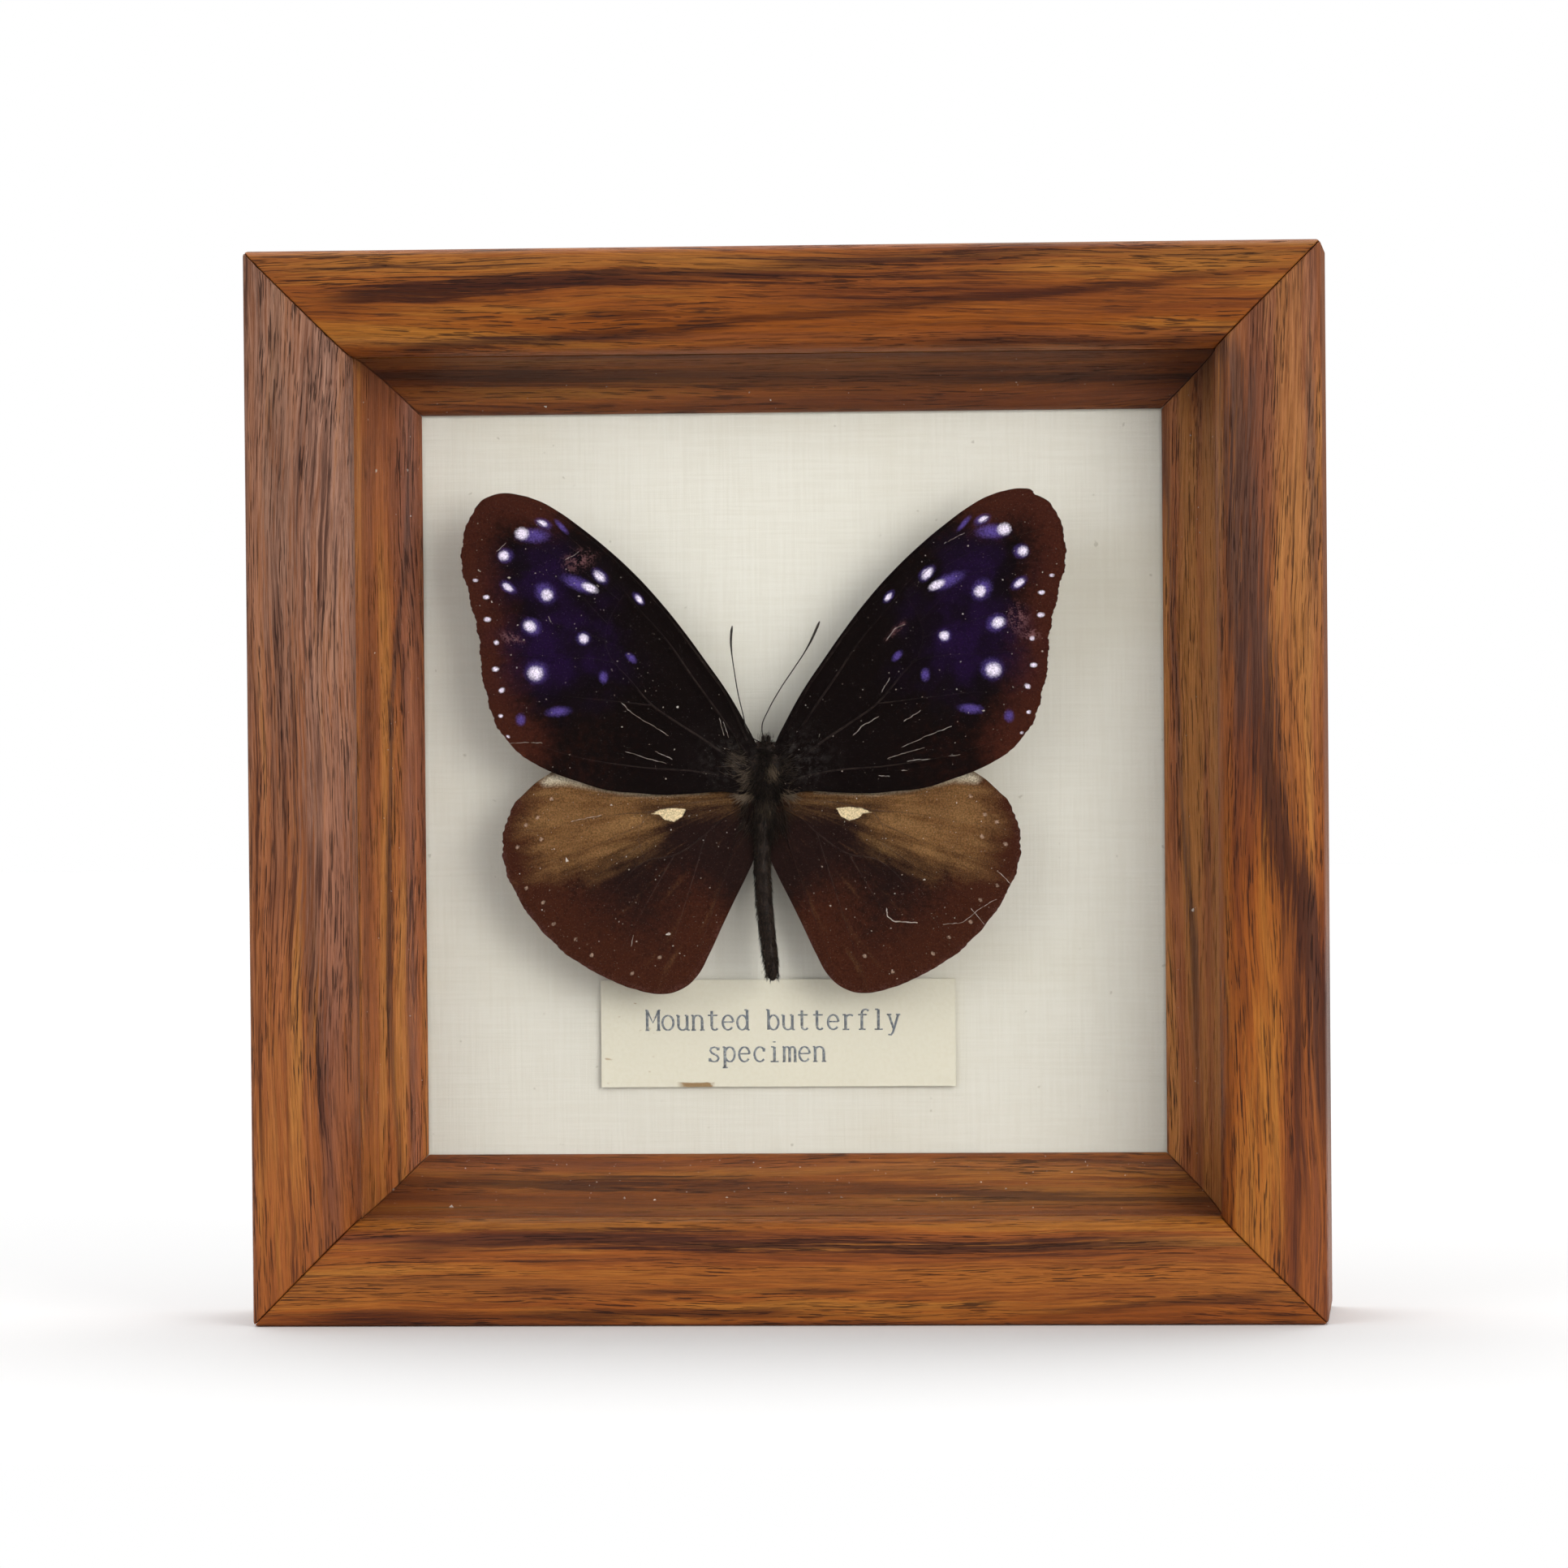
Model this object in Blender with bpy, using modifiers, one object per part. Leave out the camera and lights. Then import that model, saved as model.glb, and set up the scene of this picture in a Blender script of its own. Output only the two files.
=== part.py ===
"""A butterfly specimen in a small glazed wooden shadow frame.

Four mitred hardwood rails hold a glass pane, four scooped liner strips, a paper-faced mount board
and a hardboard back. The spread butterfly stands on a pin over the board, above a printed card.
The frame stands on its bottom rail: +Z is up, the glass faces -Y and the origin is the middle of
the bounding box's underside.
"""

import math

import bmesh
import bpy

MM = 0.001

# Driving dimensions, in millimetres. Depths run back from the highest point of the rails' faces.
FRAME_SIZE = 127.0
RAIL_DEPTH = 27.0
SIGHT = 101.9
LINER_SIGHT = 88.4
RABBET = 9.6
GAP = 0.3

LIP_SHELF = 4.7
GLASS_THICK = 2.0
BOARD_FRONT = 17.0
BOARD_THICK = 4.0
BACK_THICK = 2.5
LABEL_SIZE = (42.4, 12.8, 0.3)
LABEL_CENTRE = (-2.1, -29.8)

HANGER_LENGTH = 44.0
HANGER_HEIGHT = 6.5
HANGER_PLATE = 0.6
HANGER_RISE = 1.3
HANGER_FOOT_X = 16.5
HANGER_RAISED_X = 14.7
HANGER_TEETH = 14
HANGER_TOOTHED_X = 14.0
TOOTH_NOTCH = 1.0
HANGER_NAIL_X = 19.5
NAIL_RADIUS = 0.7
NAIL_HEAD_RADIUS = 1.6
NAIL_HEAD = 0.7
NAIL_LENGTH = 10.0

# Places along each rail, from its middle.
BRAD_PLACES = {"bottom": (0.0,), "left": (-30.0, 30.0), "top": (0.0,), "right": (-30.0, 30.0)}
BRAD_LENGTH = 9.0
BRAD_RADIUS = 0.5
BRAD_HEAD_RADIUS = 0.9
BRAD_HEAD = 0.5
BRAD_BURIED = 4.5
CLEAR_HOLE = 0.3

AXIS_X = -2.8
BODY_DEPTH = 11.2
FOREWING_DEPTH = 10.3
HINDWING_DEPTH = 11.3
ANTENNA_DEPTH = 9.9
WING_THICK = 0.3
WING_LIFT = math.radians(3.0)
PIN_RADIUS = 0.25
PIN_BURIED = 3.0

# Values that follow from them.
HALF = FRAME_SIZE / 2
LIP = (FRAME_SIZE - SIGHT) / 2
LINER_EDGE = (FRAME_SIZE - LINER_SIGHT) / 2
PANEL_SIZE = FRAME_SIZE - 2 * (RABBET + GAP)
GLASS_FRONT = LIP_SHELF + GAP
LINER_FRONT = GLASS_FRONT + GLASS_THICK + GAP
LINER_BACK = BOARD_FRONT - GAP
BACK_FRONT = BOARD_FRONT + BOARD_THICK + GAP
BRAD_DEPTH = BACK_FRONT + BACK_THICK + GAP + BRAD_HEAD_RADIUS
HANGER_BACK = RAIL_DEPTH + GAP + HANGER_RISE + HANGER_PLATE
FRONT_Y = -HANGER_BACK / 2

# Sections across a rail and a liner strip: (distance in from the frame's edge, depth).
RAIL_SECTION = (
    (0.0, RAIL_DEPTH),
    (RABBET, RAIL_DEPTH),
    (RABBET, LIP_SHELF),
    (LIP, LIP_SHELF),
    (LIP, 3.0),
    (LIP - 0.35, 1.9),
    (LIP - 1.2, 0.95),
    (LIP - 2.6, 0.35),
    (LIP - 4.6, 0.05),
    (5.5, 0.0),
    (2.8, 0.1),
    (1.2, 0.4),
    (0.35, 0.9),
    (0.0, 1.7),
)
LINER_SECTION = (
    (RABBET + GAP, LINER_BACK),
    (LINER_EDGE, LINER_BACK),
    (LINER_EDGE, 16.3),
    (LINER_EDGE - 0.35, 15.9),
    (LINER_EDGE - 1.4, 15.5),
    (LINER_EDGE - 3.0, 14.8),
    (LINER_EDGE - 4.3, 13.6),
    (LINER_EDGE - 5.4, 11.8),
    (LINER_EDGE - 6.2, 9.8),
    (LINER_EDGE - 6.7, LINER_FRONT),
    (RABBET + GAP, LINER_FRONT),
)

# Wing outlines, right side: (distance out from the body's axis, height over the frame's middle).
FOREWING = (
    (1.9, 4.9), (4.3, 9.6), (6.9, 13.8), (9.5, 17.5), (12.2, 21.1), (15.6, 25.3), (18.9, 28.2),
    (22.9, 31.4), (26.7, 33.8), (29.8, 34.7), (32.2, 34.4), (34.3, 32.6), (35.5, 30.2),
    (36.1, 27.2), (35.9, 24.5), (35.0, 21.8), (34.2, 18.6), (33.7, 15.6), (33.4, 12.8),
    (32.7, 9.2), (31.6, 6.0), (29.3, 3.8), (26.0, 1.7), (22.3, 0.5), (18.9, -0.5),
    (14.0, -1.0), (8.6, -1.0), (4.6, -0.8), (2.8, -0.5), (2.7, 1.4), (2.3, 3.4),
)
HINDWING = (
    (3.2, 0.4), (6.0, 2.2), (12.0, 3.4), (18.0, 3.6), (22.5, 2.8), (25.3, 1.4), (28.2, -0.8),
    (30.5, -3.9), (30.9, -7.0), (30.3, -10.5), (28.6, -14.0), (26.0, -17.5), (22.5, -20.7),
    (18.5, -22.8), (14.9, -24.2), (12.2, -24.8), (9.8, -24.3), (7.9, -22.8), (6.3, -20.0),
    (4.8, -16.8), (3.3, -13.5), (2.0, -10.3), (2.4, -6.5), (3.1, -3.0),
)
# The abdomen bends to the left, so the hindwings sit this far to that side.
HINDWING_SHIFT = -0.6

# Points of round-sectioned parts: (x, height over the frame's middle, radius).
BODY = (
    (AXIS_X, 5.4, 0.4), (AXIS_X, 5.0, 1.0), (AXIS_X, 4.3, 1.3), (AXIS_X, 3.5, 1.1),
    (AXIS_X, 2.8, 1.7), (AXIS_X, 1.2, 2.3), (AXIS_X, -0.9, 2.3), (AXIS_X - 0.1, -2.8, 1.9),
    (-3.1, -4.4, 1.2), (-3.4, -8.0, 1.25), (-3.5, -11.0, 1.25), (-3.1, -14.7, 1.15),
    (-2.75, -18.0, 1.0), (-2.4, -21.5, 0.7), (-2.3, -23.4, 0.25),
)
ANTENNA_LEFT = (
    (-4.9, 5.9, 0.14), (-5.3, 7.6, 0.12), (-5.9, 10.5, 0.12), (-6.4, 13.4, 0.12),
    (-6.6, 15.2, 0.13), (-6.8, 17.2, 0.2), (-6.7, 18.2, 0.24), (-6.6, 18.8, 0.16),
)
ANTENNA_RIGHT = (
    (-3.1, 7.3, 0.14), (-2.2, 9.3, 0.12), (-0.8, 11.5, 0.12), (0.8, 13.8, 0.12),
    (2.0, 15.6, 0.13), (2.8, 17.1, 0.2), (3.5, 18.5, 0.24), (3.8, 19.2, 0.16),
)

# Base colour, roughness and metallic value of each finish.
FINISHES = {
    "rosewood": ((0.24, 0.08, 0.03, 1.0), 0.35, 0.0),
    "liner_wood": ((0.22, 0.11, 0.05, 1.0), 0.45, 0.0),
    "glass": ((0.9, 0.95, 0.93, 1.0), 0.05, 0.0),
    "linen_paper": ((0.75, 0.73, 0.66, 1.0), 0.9, 0.0),
    "card": ((0.78, 0.75, 0.66, 1.0), 0.85, 0.0),
    "hardboard": ((0.2, 0.11, 0.06, 1.0), 0.7, 0.0),
    "steel": ((0.6, 0.6, 0.6, 1.0), 0.35, 1.0),
    "wing_dark": ((0.03, 0.02, 0.03, 1.0), 0.6, 0.0),
    "body_dark": ((0.03, 0.025, 0.02, 1.0), 0.8, 0.0),
}


def clear_scene():
    """Remove every object that the scene starts with."""
    for obj in list(bpy.data.objects):
        bpy.data.objects.remove(obj, do_unlink=True)


def make_collection(name):
    """Return a new collection in the scene."""
    collection = bpy.data.collections.new(name)
    bpy.context.scene.collection.children.link(collection)
    return collection


def material(name):
    """Return the Principled material of one finish."""
    existing = bpy.data.materials.get(name)
    if existing:
        return existing
    colour, roughness, metallic = FINISHES[name]
    made = bpy.data.materials.new(name)
    made.use_nodes = True
    shader = made.node_tree.nodes["Principled BSDF"]
    shader.inputs["Base Color"].default_value = colour
    shader.inputs["Roughness"].default_value = roughness
    shader.inputs["Metallic"].default_value = metallic
    return made


def place(name, data, finish, parent, location=(0.0, 0.0, 0.0), rotation=(0.0, 0.0, 0.0)):
    """Link an object for the data, under its parent, and give it its finish."""
    obj = bpy.data.objects.new(name, data)
    PARTS.objects.link(obj)
    obj.parent = parent
    obj.location = location
    obj.rotation_euler = rotation
    if finish:
        data.materials.append(material(finish))
    return obj


def as_cutter(obj):
    """Move an object to the cutters, where it isn't a part of the model."""
    PARTS.objects.unlink(obj)
    CUTTERS.objects.link(obj)
    obj.hide_render = True
    obj.display_type = "WIRE"
    return obj


def cut(obj, cutter):
    """Subtract the cutter from the object."""
    modifier = obj.modifiers.new("cut_" + cutter.name, "BOOLEAN")
    modifier.operation = "DIFFERENCE"
    modifier.solver = "EXACT"
    modifier.object = cutter


def mesh_from(name, bm):
    """Turn a bmesh into mesh data with outward normals."""
    bmesh.ops.recalc_face_normals(bm, faces=bm.faces)
    mesh = bpy.data.meshes.new(name)
    bm.to_mesh(mesh)
    bm.free()
    return mesh


def slab_mesh(name, width, height, thick):
    """A flat rectangular sheet, lying across the view, centred on its own origin."""
    bm = bmesh.new()
    bmesh.ops.create_cube(bm, size=1.0)
    bmesh.ops.scale(bm, vec=(width * MM, thick * MM, height * MM), verts=bm.verts)
    return mesh_from(name, bm)


def mitred_mesh(name, section):
    """The bottom one of four strips, mitred at both ends, about the frame's middle."""
    bm = bmesh.new()
    outline = []
    for inset, depth in section:
        outline.append(bm.verts.new((-HALF * MM, (FRONT_Y + depth) * MM, inset * MM)))
    end = bm.faces.new(outline)
    swept = bmesh.ops.extrude_face_region(bm, geom=[end])
    moved = [item for item in swept["geom"] if isinstance(item, bmesh.types.BMVert)]
    bmesh.ops.translate(bm, vec=(FRAME_SIZE * MM, 0.0, 0.0), verts=moved)
    for vert in bm.verts:
        slide = vert.co.z + GAP / 2 * math.sqrt(2) * MM
        vert.co.x += slide if vert.co.x < 0.0 else -slide
        vert.co.z -= HALF * MM
    return mesh_from(name, bm)


def turned(name, profile, finish, parent, location, rotation, steps=16):
    """A turned piece about its own Z axis. The profile is (radius, height) from top to bottom."""
    bm = bmesh.new()
    verts = [bm.verts.new((radius * MM, 0.0, height * MM)) for radius, height in profile]
    for upper, lower in zip(verts, verts[1:]):
        bm.edges.new((upper, lower))
    mesh = bpy.data.meshes.new(name)
    bm.to_mesh(mesh)
    bm.free()
    obj = place(name, mesh, finish, parent, location, rotation)
    screw = obj.modifiers.new("turn", "SCREW")
    screw.axis = "Z"
    screw.steps = steps
    screw.render_steps = steps
    screw.use_merge_vertices = True
    screw.merge_threshold = 0.00002
    return obj


def rod_profile(radius, top, bottom):
    """A plain rod's profile."""
    return ((0.0, top), (radius, top), (radius, bottom), (0.0, bottom))


def nail_profile(radius, head_radius, head, length):
    """A headed nail's profile: the head's underside is at height 0, with the point far below."""
    return (
        (0.0, head),
        (head_radius * 0.7, head),
        (head_radius, head * 0.5),
        (head_radius, 0.0),
        (radius, 0.0),
        (radius, -length + 2 * radius),
        (0.0, -length),
    )


def tube(name, points, depth, finish, resolution):
    """A round-sectioned part through the points, at one depth, whose radius changes on the way."""
    curve = bpy.data.curves.new(name, "CURVE")
    curve.dimensions = "3D"
    curve.bevel_depth = MM
    curve.bevel_resolution = resolution
    curve.use_fill_caps = True
    curve.resolution_u = 2
    spline = curve.splines.new("BEZIER")
    spline.bezier_points.add(len(points) - 1)
    for control, (x, height, radius) in zip(spline.bezier_points, points):
        control.co = (x * MM, (FRONT_Y + depth) * MM, height * MM)
        control.radius = radius
        control.handle_left_type = "AUTO"
        control.handle_right_type = "AUTO"
    return place(name, curve, finish, CENTRE)


def wing(name, outline, side, depth, shift=0.0):
    """A flat wing that rises a little from its root outwards. Side is 1 for right, -1 for left."""
    curve = bpy.data.curves.new(name, "CURVE")
    curve.dimensions = "2D"
    curve.fill_mode = "BOTH"
    curve.extrude = WING_THICK / 2 * MM
    curve.resolution_u = 2
    spline = curve.splines.new("BEZIER")
    spline.use_cyclic_u = True
    spline.bezier_points.add(len(outline) - 1)
    for control, (out, height) in zip(spline.bezier_points, outline):
        control.co = (side * out * MM, height * MM, 0.0)
        control.handle_left_type = "AUTO"
        control.handle_right_type = "AUTO"
    hinge = bpy.data.objects.new(name + "_root", None)
    PARTS.objects.link(hinge)
    hinge.parent = CENTRE
    hinge.location = ((AXIS_X + shift) * MM, (FRONT_Y + depth) * MM, 0.0)
    hinge.rotation_euler = (0.0, 0.0, -side * WING_LIFT)
    return place(name, curve, "wing_dark", hinge, rotation=(math.pi / 2, 0.0, 0.0))


def build_rails():
    """The four mitred rails, in order round the frame, each with the brads that hold the back."""
    rails = {}
    for turn, side in enumerate(("bottom", "left", "top", "right")):
        angle = turn * math.pi / 2
        rail = place("rail_" + side, mitred_mesh("rail_" + side, RAIL_SECTION), "rosewood", CENTRE,
                     rotation=(0.0, angle, 0.0))
        rails[side] = rail
        for number, x in enumerate(BRAD_PLACES[side], start=1):
            foot = -HALF + RABBET - BRAD_BURIED + BRAD_LENGTH
            where = (x * MM, (FRONT_Y + BRAD_DEPTH) * MM, foot * MM)
            name = f"brad_{side}_{number}"
            turned(name, nail_profile(BRAD_RADIUS, BRAD_HEAD_RADIUS, BRAD_HEAD, BRAD_LENGTH), "steel", rail,
                   where, (0.0, 0.0, 0.0), steps=12)
            hole = turned(name + "_hole", rod_profile(BRAD_RADIUS + CLEAR_HOLE, 0.0, -BRAD_LENGTH - GAP),
                          None, rail, where, (0.0, 0.0, 0.0), steps=12)
            cut(rail, as_cutter(hole))
    return rails


def build_liner():
    """The four scooped strips between the glass and the board."""
    for turn, side in enumerate(("bottom", "left", "top", "right")):
        name = "liner_" + side
        place(name, mitred_mesh(name, LINER_SECTION), "liner_wood", CENTRE,
              rotation=(0.0, turn * math.pi / 2, 0.0))


def build_sheets():
    """The glass, the mount board with its pin hole, the card and the back."""
    def sheet(name, width, height, thick, front, finish, centre=(0.0, 0.0)):
        where = (centre[0] * MM, (FRONT_Y + front + thick / 2) * MM, centre[1] * MM)
        return place(name, slab_mesh(name, width, height, thick), finish, CENTRE, where)

    sheet("glass_pane", PANEL_SIZE, PANEL_SIZE, GLASS_THICK, GLASS_FRONT, "glass")
    board = sheet("mount_board", PANEL_SIZE, PANEL_SIZE, BOARD_THICK, BOARD_FRONT, "linen_paper")
    width, height, thick = LABEL_SIZE
    sheet("label_card", width, height, thick, BOARD_FRONT - GAP - thick, "card", LABEL_CENTRE)
    sheet("back_panel", PANEL_SIZE, PANEL_SIZE, BACK_THICK, BACK_FRONT, "hardboard")
    return board


def build_pin(board):
    """The pin that carries the butterfly, from under its thorax into the board."""
    top = BODY_DEPTH + max(radius for _, _, radius in BODY) + GAP
    length = BOARD_FRONT + PIN_BURIED - top
    where = (AXIS_X * MM, (FRONT_Y + top) * MM, 0.0)
    level = (math.pi / 2, 0.0, 0.0)
    turned("insect_pin", rod_profile(PIN_RADIUS, 0.0, -length), "steel", CENTRE, where, level, steps=12)
    hole = turned("pin_hole", rod_profile(PIN_RADIUS + CLEAR_HOLE, 0.0, -length - GAP), None, CENTRE,
                  where, level, steps=12)
    cut(board, as_cutter(hole))


def build_butterfly():
    """The specimen: body, wings and antennae."""
    tube("butterfly_body", BODY, BODY_DEPTH, "body_dark", resolution=3)
    for side, name in ((-1, "left"), (1, "right")):
        wing("forewing_" + name, FOREWING, side, FOREWING_DEPTH)
        wing("hindwing_" + name, HINDWING, side, HINDWING_DEPTH, HINDWING_SHIFT)
    tube("antenna_left", ANTENNA_LEFT, ANTENNA_DEPTH, "body_dark", resolution=1)
    tube("antenna_right", ANTENNA_RIGHT, ANTENNA_DEPTH - 0.3, "body_dark", resolution=1)


def hanger_columns():
    """Places along the hanger with the notch in its lower edge and its rise off the rail at each."""
    pitch = 2 * HANGER_TOOTHED_X / HANGER_TEETH
    columns = [
        (-HANGER_LENGTH / 2, 0.0, 0.0),
        (-HANGER_FOOT_X, 0.0, 0.0),
        (-HANGER_RAISED_X, 0.0, HANGER_RISE),
    ]
    for tooth in range(HANGER_TEETH):
        left = -HANGER_TOOTHED_X + tooth * pitch
        columns.append((left, 0.0, HANGER_RISE))
        columns.append((left + pitch / 2, TOOTH_NOTCH, HANGER_RISE))
    columns.append((HANGER_TOOTHED_X, 0.0, HANGER_RISE))
    columns.append((HANGER_RAISED_X, 0.0, HANGER_RISE))
    columns.append((HANGER_FOOT_X, 0.0, 0.0))
    columns.append((HANGER_LENGTH / 2, 0.0, 0.0))
    return columns


def build_hanger(rail):
    """The sawtooth hanger on the back of the top rail, with its two nails."""
    middle = HALF - RABBET / 2
    bm = bmesh.new()
    strips = []
    for x, notch, rise in hanger_columns():
        back = (FRONT_Y + RAIL_DEPTH + GAP + rise) * MM
        low = bm.verts.new((x * MM, back, (middle - HANGER_HEIGHT / 2 + notch) * MM))
        high = bm.verts.new((x * MM, back, (middle + HANGER_HEIGHT / 2) * MM))
        strips.append((low, high))
    for (low, high), (next_low, next_high) in zip(strips, strips[1:]):
        bm.faces.new((low, high, next_high, next_low))
    mesh = bpy.data.meshes.new("sawtooth_hanger")
    bm.to_mesh(mesh)
    bm.free()
    hanger = place("sawtooth_hanger", mesh, "steel", CENTRE)
    plate = hanger.modifiers.new("plate", "SOLIDIFY")
    plate.thickness = HANGER_PLATE * MM
    plate.offset = 1.0
    under_head = RAIL_DEPTH + GAP + HANGER_PLATE + GAP
    backwards = (-math.pi / 2, 0.0, 0.0)
    for side, x in (("left", -HANGER_NAIL_X), ("right", HANGER_NAIL_X)):
        name = "hanger_nail_" + side
        where = (x * MM, (FRONT_Y + under_head) * MM, middle * MM)
        turned(name, nail_profile(NAIL_RADIUS, NAIL_HEAD_RADIUS, NAIL_HEAD, NAIL_LENGTH), "steel", CENTRE,
               where, backwards, steps=12)
        hole = turned(name + "_hole", rod_profile(NAIL_RADIUS + CLEAR_HOLE, GAP, -NAIL_LENGTH - GAP), None,
                      CENTRE, where, backwards, steps=12)
        as_cutter(hole)
        cut(hanger, hole)
        cut(rail, hole)


clear_scene()
PARTS = make_collection("framed_butterfly_specimen")
CUTTERS = make_collection("cutters")
CENTRE = bpy.data.objects.new("frame_centre", None)
PARTS.objects.link(CENTRE)
CENTRE.location = (0.0, 0.0, HALF * MM)

rails_made = build_rails()
build_liner()
mount_board = build_sheets()
build_pin(mount_board)
build_butterfly()
build_hanger(rails_made["top"])
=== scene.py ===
"""Looks of a framed butterfly: a moulded wooden frame, a glazed box and the mounted insect in it."""

import logging
import math
from dataclasses import dataclass, field
from enum import Enum
from functools import reduce
from typing import Callable, Iterator, Sequence

import bmesh
import bpy
import numpy as np
from mathutils import Matrix, Vector


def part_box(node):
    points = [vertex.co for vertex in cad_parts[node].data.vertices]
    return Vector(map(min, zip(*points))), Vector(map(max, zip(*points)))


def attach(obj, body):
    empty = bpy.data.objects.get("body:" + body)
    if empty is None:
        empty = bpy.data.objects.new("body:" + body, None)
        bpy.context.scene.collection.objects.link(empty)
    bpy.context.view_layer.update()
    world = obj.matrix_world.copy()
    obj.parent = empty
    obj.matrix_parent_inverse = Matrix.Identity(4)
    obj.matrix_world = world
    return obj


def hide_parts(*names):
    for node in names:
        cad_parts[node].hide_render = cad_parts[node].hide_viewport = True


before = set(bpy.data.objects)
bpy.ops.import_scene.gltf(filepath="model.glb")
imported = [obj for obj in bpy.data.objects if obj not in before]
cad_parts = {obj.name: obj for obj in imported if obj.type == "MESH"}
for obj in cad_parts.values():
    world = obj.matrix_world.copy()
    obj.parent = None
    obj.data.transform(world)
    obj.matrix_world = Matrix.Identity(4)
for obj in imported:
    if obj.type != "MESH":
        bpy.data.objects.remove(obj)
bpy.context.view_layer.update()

MM = 0.001
BODY = "root"
LOG = logging.getLogger("framed_butterfly")

Colour = tuple[float, float, float, float]
Points = Sequence[tuple[float, float]]
Socket = bpy.types.NodeSocket
Piece = bpy.types.Object
Material = bpy.types.Material


def colour(code: str) -> Colour:
    """Reads a colour as it looks on a screen.

    Args:
        code: six hexadecimal digits, two each for red, green and blue.

    Returns:
        The same colour in linear light, with full opacity.
    """
    parts = [int(code[start:start + 2], 16) / 255 for start in (0, 2, 4)]
    light = [part / 12.92 if part <= 0.04045 else ((part + 0.055) / 1.055) ** 2.4 for part in parts]
    return light[0], light[1], light[2], 1.0


class Side(Enum):
    """A side of the frame, and how far it is turned from the bottom one, in degrees about Y."""

    BOTTOM = 0
    LEFT = 90
    TOP = 180
    RIGHT = 270

    @property
    def word(self) -> str:
        """The side's name in small letters."""
        return self.name.lower()

    @property
    def grain_turn(self) -> float:
        """How far its grain coordinates are turned, in radians."""
        return math.radians(90 if self is Side.RIGHT else self.value)

    @property
    def grain_mirror(self) -> int:
        """-1 where the grain is read the other way along, so that each side reads left to right or down."""
        return -1 if self in (Side.TOP, Side.RIGHT) else 1


class Hand(Enum):
    """The side of the insect that a wing or an antenna is on, as seen from the front."""

    LEFT = -1
    RIGHT = 1

    @property
    def word(self) -> str:
        """The hand's name in small letters."""
        return self.name.lower()


@dataclass(frozen=True)
class Plan:
    """The frame's main lines, in metres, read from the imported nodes."""

    left: float
    right: float
    bottom: float
    top: float
    front: float
    axis: float

    @classmethod
    def read(cls) -> "Plan":
        """Reads the lines from the boxes of the rails and the wings.

        Returns:
            The plan of this frame.
        """
        rail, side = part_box("rail_bottom"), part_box("rail_left")
        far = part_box("rail_right")[1].x
        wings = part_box("forewing_left")[1].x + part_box("forewing_right")[0].x
        return cls(side[0].x, far, rail[0].z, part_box("rail_top")[1].z, rail[0].y, wings / 2)

    @property
    def middle(self) -> float:
        """The height of the frame's middle."""
        return (self.bottom + self.top) / 2

    def depth(self, behind: float) -> float:
        """The y of a place that many millimetres behind the front."""
        return self.front + behind * MM


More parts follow.
